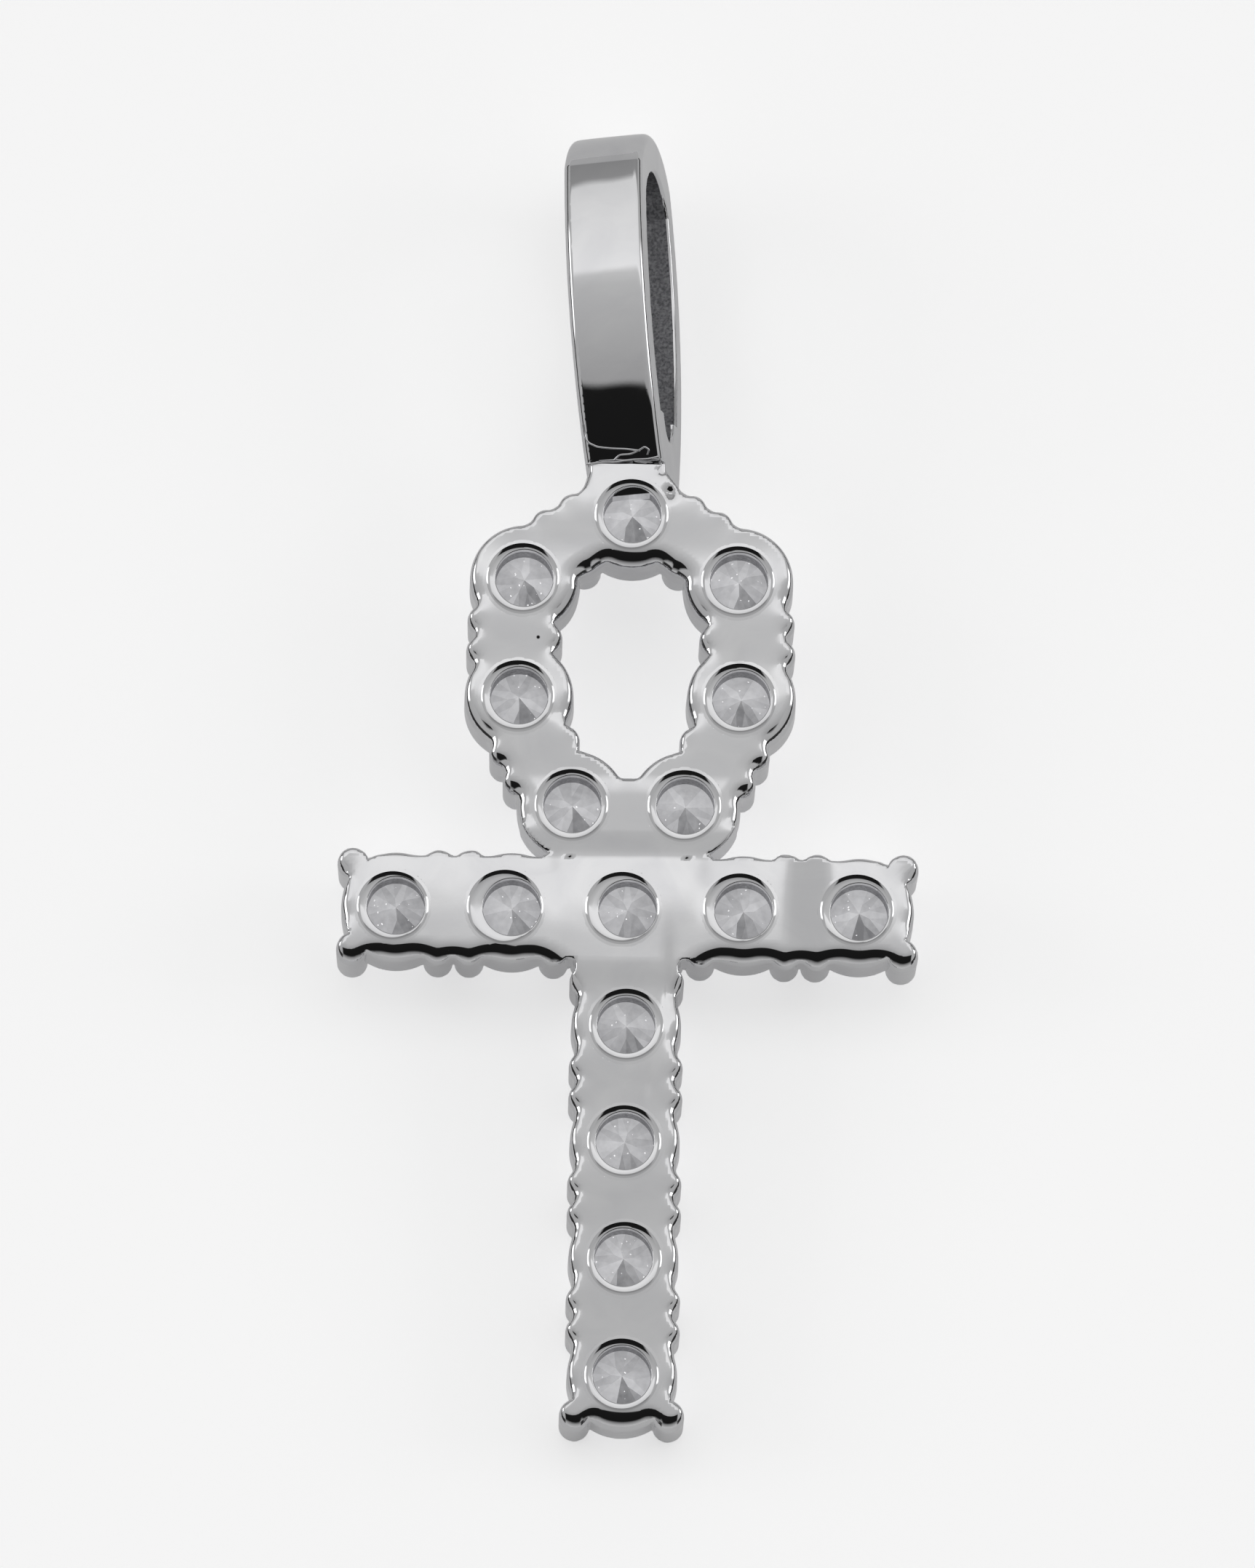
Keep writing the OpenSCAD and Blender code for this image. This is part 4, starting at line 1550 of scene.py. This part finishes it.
@dataclass
class SolderSeam:
    """The solder that ran round the bail's foot and up its back, in thin uneven cords."""

    bail: Bail
    radius: float = 0.038
    sunk: float = 0.3          # how far a cord lies in the band, as a share of its radius
    lump_mm: float = 0.22      # spacing of the cords' lumps
    lumps: tuple[float, float] = (0.5, 1.5)      # thinnest and thickest, as shares of the radius
    lump_noise: tuple[float, float] = (0.35, 0.65)
    sides: int = 12
    rings: int = 90
    steps: int = 8             # points along a cord for each of its places
    smoothing: int = 6
    # Each cord's places on the bail's back: height above the foot, and place across the band
    cords: tuple[tuple[tuple[float, float], ...], ...] = (
        ((1.5, -1.43), (1.1, -1.42), (0.82, -1.32), (0.62, -0.95), (0.52, -0.4), (0.45, 0.2),
         (0.33, 0.75)),
        ((0.08, -0.35), (0.26, -0.1), (0.24, 0.35), (0.36, 0.72), (0.47, 0.95), (0.34, 1.12),
         (0.16, 1.02)),
        ((0.02, -1.5), (0.05, -0.9), (0.0, -0.3), (0.04, 0.4), (0.0, 1.0), (0.05, 1.5)))

    def tree(self) -> bpy.types.GeometryNodeTree:
        """Builds the tree that draws a lumpy cord along each row of edges.

        Returns:
            The tree, with named inputs for the cord's radius, its lumps and its finish.
        """
        made, given = begin_tree("solder_cord_tree", {
            "Radius": "Float", "Lump scale": "Float", "Finish": "Material"})
        curve = add_node(made, "GeometryNodeMeshToCurve",
                         inputs={"Mesh": given.outputs["Geometry"]})
        fine = add_node(made, "GeometryNodeResampleCurve", inputs={
            "Curve": curve.outputs["Curve"], "Count": self.rings})
        place = add_node(made, "GeometryNodeInputPosition")
        noise = add_node(made, "ShaderNodeTexNoise", inputs={
            "Vector": place.outputs["Position"], "Scale": given.outputs["Lump scale"],
            "Detail": 2.0})
        swing = add_node(made, "ShaderNodeMapRange", inputs={
            "Value": noise.outputs["Fac"], "From Min": self.lump_noise[0],
            "From Max": self.lump_noise[1], "To Min": self.lumps[0], "To Max": self.lumps[1]})
        wide = add_node(made, "GeometryNodeSetCurveRadius", inputs={
            "Curve": fine.outputs["Curve"], "Radius": swing.outputs["Result"]})
        ring = add_node(made, "GeometryNodeCurvePrimitiveCircle", {"mode": "RADIUS"}, {
            "Resolution": self.sides, "Radius": given.outputs["Radius"]})
        cord = add_node(made, "GeometryNodeCurveToMesh", inputs={
            "Curve": wide.outputs["Curve"], "Profile Curve": ring.outputs["Curve"],
            "Fill Caps": True})
        smooth = add_node(made, "GeometryNodeSetShadeSmooth",
                          inputs={"Geometry": cord.outputs["Mesh"]})
        end_tree(made, smooth.outputs["Geometry"], given.outputs["Finish"])
        return made

    def on_back(self, places: Array) -> Array:
        """Takes places on the bail's back to the row's frame.

        Args:
            places: rows of height and place across the band.

        Returns:
            Rows of x, y and z in metres.
        """
        up, across = places.T
        deep = np.sqrt(self.bail.side_r ** 2 - (up - self.bail.belly) ** 2) - self.bail.side_off
        spots = np.stack([up, deep - self.sunk * self.radius, across], 1)
        return self.bail.rest.laid(self.bail.on_plate(spots))

    def build(self) -> bpy.types.Object:
        """Makes the cords as one piece, which stands for the setting at its solder joint.

        Returns:
            The finished piece.
        """
        places, edges = [], []
        for cord in self.cords:
            spots = np.array(cord)
            at = np.linspace(0, len(spots) - 1, self.steps * len(spots))
            smooth = np.stack([np.interp(at, np.arange(len(spots)), line) for line in spots.T], 1)
            for _ in range(self.smoothing):
                smooth[1:-1] = (smooth[:-2] + 2 * smooth[1:-1] + smooth[2:]) / 4
            edges += [(len(places) + i, len(places) + i + 1) for i in range(len(smooth) - 1)]
            places += self.on_back(smooth).tolist()
        mesh = bpy.data.meshes.new("solder_seam_lines")
        mesh.from_pydata(places, edges, [])
        made = grown("solder_seam", mesh, self.tree(), {
            "Radius": self.radius * MM, "Lump scale": 1 / (self.lump_mm * MM),
            "Finish": self.bail.finishes.mirror})
        log.info("solder seam: %d faces", len(made.data.polygons))
        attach(made, "root")
        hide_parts("setting")
        return made


@dataclass(frozen=True)
class BrilliantCut:
    """Proportions of a round brilliant, as shares of its diameter, and its facets' tones,
    which are painted reflections.
    """

    table: float = 0.56
    star: float = 0.80
    crown: float = 0.15
    girdle: float = 0.025
    pavilion: float = 0.43
    lower: float = 0.22
    # Painted reflection: the grey that each kind of facet is given for what it mirrors
    table_tone: float = 0.5
    star_tone: float = 0.55
    kite_tone: float = 0.4
    upper_tones: tuple[float, float] = (0.5, 0.6)
    girdle_tone: float = 0.4
    lower_tones: tuple[float, float] = (0.42, 0.46)
    main_tone: float = 0.36
    # Steps of painted reflection from one lower or main facet to another, as no two mirror the same
    lower_step: float = 0.03
    main_step: float = 0.035

    def template(self) -> bpy.types.Object:
        """Makes one stone a metre across, with its table up and its girdle's lower edge at 0.

        Returns:
            The stone, with a painted reflection tone for each facet.
        """
        shape = bmesh.new()
        tone = shape.faces.layers.float.new("facet_tone")
        mains = 8
        half_turn = 180 / mains

        def ring(r: float, z: float, count: int, first: float) -> list[bmesh.types.BMVert]:
            """A ring of points, the first one turned by so many degrees."""
            turns = [math.radians(first + k * 360 / count) for k in range(count)]
            return [shape.verts.new((r * math.cos(q), r * math.sin(q), z)) for q in turns]

        half_step = math.cos(math.radians(half_turn))
        star_r, low_r = self.star / 2, self.lower / 2
        star_z = self.girdle + self.crown * (0.5 - star_r * half_step) / (0.5 - self.table / 2)
        low_z = -self.pavilion * (1 - 2 * low_r * half_step)
        tables = ring(self.table / 2, self.girdle + self.crown, mains, 0)
        stars = ring(star_r, star_z, mains, half_turn)
        upper = ring(0.5, self.girdle, 2 * mains, 0)
        under = ring(0.5, 0, 2 * mains, 0)
        halves = ring(low_r, low_z, mains, half_turn)
        tip = shape.verts.new((0, 0, -self.pavilion))
        facets = [(tables, self.table_tone)]
        for k in range(mains):
            n, p = (k + 1) % mains, (k - 1) % mains
            e, o, s = 2 * k, 2 * k + 1, (2 * k + 2) % (2 * mains)
            facets += [
                ((tables[k], stars[k], tables[n]), self.star_tone),
                ((tables[k], stars[p], upper[e], stars[k]), self.kite_tone),
                ((stars[k], upper[e], upper[o]), self.upper_tones[0]),
                ((stars[k], upper[o], upper[s]), self.upper_tones[1]),
                ((upper[e], under[e], under[o], upper[o]), self.girdle_tone),
                ((upper[o], under[o], under[s], upper[s]), self.girdle_tone),
                ((halves[k], under[o], under[e]),
                 self.lower_tones[0] + self.lower_step * (k * 5 % 7)),
                ((halves[k], under[s], under[o]),
                 self.lower_tones[1] + self.lower_step * (k * 3 % 5)),
                ((tip, halves[k], under[e], halves[p]),
                 self.main_tone + self.main_step * (k * 4 % 9))]
        for points, value in facets:
            shape.faces.new(points)[tone] = value
        bmesh.ops.recalc_face_normals(shape, faces=shape.faces)
        return from_shape("brilliant_cut", shape)


def grain_template() -> bpy.types.Object:
    """Makes one round grain a metre across.

    Returns:
        The grain.
    """
    shape = bmesh.new()
    bmesh.ops.create_icosphere(shape, subdivisions=3, radius=0.5)
    for face in shape.faces:
        face.smooth = True
    return from_shape("raised_grain", shape)


@dataclass
class SetOnPlaces:
    """Sets one shape on a list of places by Geometry Nodes, as a setter fills the seats."""

    name: str
    template: bpy.types.Object
    finish: bpy.types.Material
    size: float
    shade_spread: float
    seed: int = 11

    def tree(self) -> bpy.types.GeometryNodeTree:
        """Builds the node tree.

        Returns:
            The tree, with named inputs for the shape, its size, its finish and its shades.
        """
        made, given = begin_tree(self.name + "_tree", {
            "Shape": "Object", "Size": "Float", "Shade spread": "Float", "Finish": "Material"})
        shape = add_node(made, "GeometryNodeObjectInfo", inputs={"Object": given.outputs["Shape"]})
        stance = add_node(made, "GeometryNodeInputNamedAttribute", {"data_type": "FLOAT_VECTOR"},
                          {"Name": "stance"})
        turn = add_node(made, "FunctionNodeEulerToRotation",
                        inputs={0: stance.outputs["Attribute"]})
        placed = add_node(made, "GeometryNodeInstanceOnPoints", inputs={
            "Points": given.outputs["Geometry"], "Instance": shape.outputs["Geometry"],
            "Rotation": turn.outputs[0], "Scale": given.outputs["Size"]})
        low = add_node(made, "ShaderNodeMath", {"operation": "MULTIPLY"},
                       {0: given.outputs["Shade spread"], 1: -1.0})
        shade = add_node(made, "FunctionNodeRandomValue", {"data_type": "FLOAT"}, {
            2: low.outputs["Value"], 3: given.outputs["Shade spread"], "Seed": self.seed})
        stored = add_node(made, "GeometryNodeStoreNamedAttribute",
                          {"data_type": "FLOAT", "domain": "INSTANCE"},
                          {"Geometry": placed.outputs["Instances"], "Name": "stone_shade",
                           "Value": shade.outputs[1]})
        end_tree(made, stored.outputs["Geometry"], given.outputs["Finish"])
        return made

    def build(self, places: Array, stances: Array) -> bpy.types.Object:
        """Sets the shapes and makes them one plain mesh.

        Args:
            places: rows of x, y and z in metres, in the row's frame.
            stances: rows of Euler angles.

        Returns:
            The finished object, at the origin.
        """
        seats = bpy.data.meshes.new(self.name + "_seats")
        seats.from_pydata([tuple(p) for p in places], [], [])
        stance = seats.attributes.new("stance", "FLOAT_VECTOR", "POINT")
        stance.data.foreach_set("vector", np.asarray(stances, np.float32).ravel())
        return grown(self.name, seats, self.tree(), {
            "Shape": self.template, "Size": self.size, "Shade spread": self.shade_spread,
            "Finish": self.finish})


@dataclass
class Stones:
    """The sixteen main stones, the small ones in the bail, and the grains that hold those."""

    rest: Resting
    layout: Layout
    bail: Bail
    finishes: Finishes
    cut: BrilliantCut = BrilliantCut()
    diameter: float = 4.0
    girdle_depth: float = 2.27   # depth of the girdles' upper edge as the pendant lies
    turn_seed: int = 5         # fixes how each main stone is turned in its cup
    main_spread: float = 0.05  # how much the stones differ in shade
    small_spread: float = 0.08
    # The black card's dark reflection is painted on the facets that face this way in plan,
    # by how straight they face it
    card_way: tuple[float, float] = (0.26, -0.965)
    card_fade: tuple[float, float] = (0.8, 0.93)
    card_shade: float = 0.36
    card_rise: float = 0.3     # least upward part of a facet's direction
    grain_r: float = 0.24
    grain_out: float = 0.12    # how far a grain's top stands out of the wall

    def main(self, template: bpy.types.Object) -> bpy.types.Object:
        """Sets the main stones, each turned its own way, tables down.

        Args:
            template: the stone to set.

        Returns:
            The stones as one piece.
        """
        places = self.layout.every()
        points = np.column_stack([places, np.full(len(places), -self.girdle_depth)])
        turns = np.random.default_rng(self.turn_seed).uniform(0, 2 * math.pi, len(places))
        down = Matrix.Rotation(self.rest.tilt, 3, "X") @ Matrix.Rotation(math.pi, 3, "X")
        stances = [(down @ Matrix.Rotation(q, 3, "Z")).to_euler() for q in turns]
        setter = SetOnPlaces("main_stones", template, self.finishes.stone, self.diameter * MM,
                             self.main_spread)
        made = setter.build(self.rest.laid(points), np.array(stances))
        self.shade_low_wedges(made.data)
        rows = {"loop": self.layout.loop(), "bar": self.layout.bar(), "stem": self.layout.stem()}
        names = [f"{row}_stone_{i + 1}" for row, spots in rows.items() for i in range(len(spots))]
        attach(made, "root")
        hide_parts(*names)
        return made

    def shade_low_wedges(self, mesh: bpy.types.Mesh) -> None:
        """Paints the black card's dark reflection on the facets that face it, on the stem's side
        of each stone's tip.

        Args:
            mesh: the main stones' mesh.
        """
        normals = np.zeros(3 * len(mesh.polygons))
        mesh.polygons.foreach_get("normal", normals)
        x, y, z = normals.reshape(-1, 3).T
        tones = mesh.attributes["facet_tone"].data
        tone = np.zeros(len(mesh.polygons))
        tones.foreach_get("value", tone)
        toward = (self.card_way[0] * x + self.card_way[1] * y) / np.maximum(np.hypot(x, y), 1e-6)
        # Painted reflection of the black card, taken off the facets' painted tone
        shade = self.card_shade * eased(*self.card_fade, toward) * (z > self.card_rise)
        tones.foreach_set("value", tone - shade)

    def along_front(self, outs: Array) -> Array:
        """Euler angles that turn a shape's z to each direction of the bail's frame."""
        turned = self.rest.turned(outs @ self.bail.stand().T)
        return np.array([Vector(d).to_track_quat("Z", "Y").to_euler() for d in turned])

    def small(self, template: bpy.types.Object) -> bpy.types.Object:
        """Sets the small stones in the bail's front.

        Args:
            template: the stone to set.

        Returns:
            The stones as one piece.
        """
        d = self.bail.small_d
        sunk = (self.cut.crown + self.cut.girdle) * d
        spots, outs = self.bail.front_spots(self.bail.small_steps(), -sunk)
        setter = SetOnPlaces("small_stones", template, self.finishes.stone, d * MM,
                             self.small_spread)
        made = setter.build(self.rest.laid(self.bail.on_plate(spots)), self.along_front(outs))
        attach(made, "root")
        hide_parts("bail_stones")
        return made

    def grains(self, template: bpy.types.Object) -> bpy.types.Object:
        """Raises the grains between the small stones.

        Args:
            template: the grain.

        Returns:
            The grains as one piece.
        """
        steps = self.bail.small_steps()
        half = (steps[1] - steps[0]) / 2
        between = np.concatenate([steps - half, [steps[-1] + half]])
        spots, outs = self.bail.front_spots(between, self.grain_out - self.grain_r)
        aside = np.array([0, 0, self.bail.small_d / 2])
        places = self.bail.on_plate(np.concatenate([spots + aside, spots - aside]))
        setter = SetOnPlaces("raised_grains", template, self.finishes.mirror,
                             2 * self.grain_r * MM, 0.0)
        made = setter.build(self.rest.laid(places), self.along_front(np.concatenate([outs, outs])))
        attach(made, "root")
        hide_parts("setting")
        return made

    def build(self) -> None:
        """Sets all of them, then takes the templates away.

        Each piece is reported with its count of faces.
        """
        stone, grain = self.cut.template(), grain_template()
        for made in (self.main(stone), self.small(stone), self.grains(grain)):
            log.info("%s: %d faces", made.name, len(made.data.polygons))
        for spare in (stone, grain):
            bpy.data.objects.remove(spare)


# The studio

@dataclass
class Studio:
    """The white table, the light round it, and the camera."""

    rest: Resting
    table_half: float = 1.4    # in metres, as the camera's clip
    lens: float = 259.08
    sensor: float = 36.0
    clip: tuple[float, float] = (0.01, 10.0)
    far: float = 450.0         # the camera's distance, in millimetres
    # What the camera looks at, and the ways back to it and up its picture, on the plate
    target: tuple[float, float, float] = (-0.06, 5.2689, -1.1869)
    back: tuple[float, float, float] = (-0.0074702, -0.201806, 0.979397)
    up: tuple[float, float, float] = (-0.0137106, 0.979353, 0.2016924)
    # Brightness of the room by angle from straight up towards the stem's side, in degrees
    room: tuple[tuple[float, float], ...] = (
        (-90, 0.46), (-60, 0.44), (-46, 0.28), (-38.4, 0.32), (-36.6, 0.78), (-11.0, 0.98),
        (-9.4, 0.66), (-6.0, 0.57), (10, 0.47), (21.5, 0.40), (23.5, 0.012), (64, 0.01),
        (74, 0.3), (90, 0.62))
    # Brightness of the room's sides by height, where 1 is straight up: at the softboxes, and beyond
    sides: tuple[tuple[float, float], ...] = (
        (0.0, 0.03), (0.24, 0.03), (0.27, 2.2), (0.55, 2.2), (0.58, 0.5), (1.0, 0.52))
    beyond: tuple[tuple[float, float], ...] = ((0.0, 0.03), (0.24, 0.03), (0.28, 0.46), (1.0, 0.52))
    # How far out the room turns to its sides, as shares of the way across
    side_fade: tuple[float, float] = (0.52, 0.64)
    # Middle, half length and soft end of the softboxes along the pendant, as shares of the room
    box_middle: float = 0.13
    box_half: float = 0.15
    box_soft: float = 0.08
    ground: float = 0.9        # brightness of what the camera itself sees past the table
    strength: float = 3.0      # a ramp holds no more than 1, so the world is this much stronger

    def table(self) -> None:
        """Lays the table that the pendant rests on.

        It is staged, so it is no part of the pendant.
        """
        mesh = bpy.data.meshes.new("shooting_table")
        h = self.table_half
        mesh.from_pydata([(-h, -h, 0), (h, -h, 0), (h, h, 0), (-h, h, 0)], [], [(0, 1, 2, 3)])
        mesh.materials.append(LitTable().material())
        made = in_scene("shooting_table", mesh)

    def light(self) -> None:
        """Lights the room: grey above, white sides, and a black card on the stem's side.

        The room is a world whose brightness depends on the direction alone.
        """
        world = bpy.data.worlds.new("studio_room")
        bpy.context.scene.world = world
        world.use_nodes = True
        tree = world.node_tree
        tree.nodes.clear()
        way = add_node(tree, "ShaderNodeTexCoord")
        parts = add_node(tree, "ShaderNodeSeparateXYZ", inputs={0: way.outputs["Generated"]})
        to_stem = add_node(tree, "ShaderNodeMath", {"operation": "MULTIPLY"},
                           {0: parts.outputs["Y"], 1: -1.0})
        angle = add_node(tree, "ShaderNodeMath", {"operation": "ARCTAN2"},
                         {0: to_stem.outputs["Value"], 1: parts.outputs["Z"]})
        spot = add_node(tree, "ShaderNodeMapRange", inputs={
            "Value": angle.outputs["Value"], "From Min": -math.pi / 2, "From Max": math.pi / 2})
        height = add_node(tree, "ShaderNodeMapRange", inputs={
            "Value": parts.outputs["Z"], "From Min": 0.0, "From Max": 1.0})
        over, boxes, past = (
            add_node(tree, "ShaderNodeValToRGB", inputs={"Fac": at.outputs["Result"]})
            for at in (spot, height, height))
        room = [((degrees + 90) / 180, light) for degrees, light in self.room]
        for ramp, stops in ((over, room), (boxes, self.sides), (past, self.beyond)):
            fill_ramp(ramp.color_ramp, [(at, grey(light / self.strength)) for at, light in stops])
        aside = add_node(tree, "ShaderNodeMath", {"operation": "ABSOLUTE"},
                         {0: parts.outputs["X"]})
        side = add_node(tree, "ShaderNodeMapRange", {"interpolation_type": "SMOOTHSTEP"}, {
            "Value": aside.outputs["Value"], "From Min": self.side_fade[0],
            "From Max": self.side_fade[1]})
        off_middle = add_node(tree, "ShaderNodeMath", {"operation": "SUBTRACT"},
                              {0: parts.outputs["Y"], 1: self.box_middle})
        along = add_node(tree, "ShaderNodeMath", {"operation": "ABSOLUTE"},
                         {0: off_middle.outputs["Value"]})
        end = add_node(tree, "ShaderNodeMapRange", {"interpolation_type": "SMOOTHSTEP"}, {
            "Value": along.outputs["Value"], "From Min": self.box_half,
            "From Max": self.box_half + self.box_soft})
        walls = add_node(tree, "ShaderNodeMix", {"data_type": "RGBA"}, {
            "Factor": end.outputs["Result"], 6: boxes.outputs["Color"], 7: past.outputs["Color"]})
        sky = add_node(tree, "ShaderNodeMix", {"data_type": "RGBA"}, {
            "Factor": side.outputs["Result"], 6: over.outputs["Color"], 7: walls.outputs[2]})
        path = add_node(tree, "ShaderNodeLightPath")
        seen = add_node(tree, "ShaderNodeMix", {"data_type": "RGBA"}, {
            "Factor": path.outputs["Is Camera Ray"], 6: sky.outputs[2],
            7: grey(self.ground / self.strength)})
        glow = add_node(tree, "ShaderNodeBackground", inputs={
            "Color": seen.outputs[2], "Strength": self.strength})
        add_node(tree, "ShaderNodeOutputWorld", inputs={"Surface": glow.outputs["Background"]})

    def camera(self) -> None:
        """Puts the camera where the photograph was taken from.

        Its place was fitted to the stones' places in the photograph.
        """
        target = self.rest.laid(np.array(self.target))
        back, up = (Vector(self.rest.turned(np.array(v))).normalized()
                    for v in (self.back, self.up))
        data = bpy.data.cameras.new("studio_camera")
        data.lens, data.sensor_fit, data.sensor_height = self.lens, "VERTICAL", self.sensor
        data.clip_start, data.clip_end = self.clip
        made = in_scene("studio_camera", data)
        spin = Matrix((up.cross(back), up, back)).transposed().to_4x4()
        made.matrix_world = Matrix.Translation(Vector(target) + back * self.far * MM) @ spin
        bpy.context.scene.camera = made

    def build(self) -> None:
        """Sets up the whole studio.

        The view transform is plain, so that greys come out as they are given.
        """
        self.table()
        self.light()
        self.camera()
        view = bpy.context.scene.view_settings
        view.view_transform, view.look, view.exposure, view.gamma = "Standard", "None", 0.0, 1.0
        log.info("studio ready")


def main() -> None:
    """Builds the pendant piece by piece, then the studio."""
    logging.basicConfig(level=logging.INFO, format="%(message)s")
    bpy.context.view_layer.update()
    finishes = Finishes.made()
    rest, layout = Resting(), Layout()
    cups = CupFrame(rest, layout, Prongs(layout), BurrDishes(layout), finishes)
    cups.build()
    WindowRims(cups).build()
    bail = Bail(rest, finishes)
    bail.build()
    SolderSeam(bail).build()
    Stones(rest, layout, bail, finishes).build()
    Studio(rest).build()


if __name__ == "__main__":
    main()
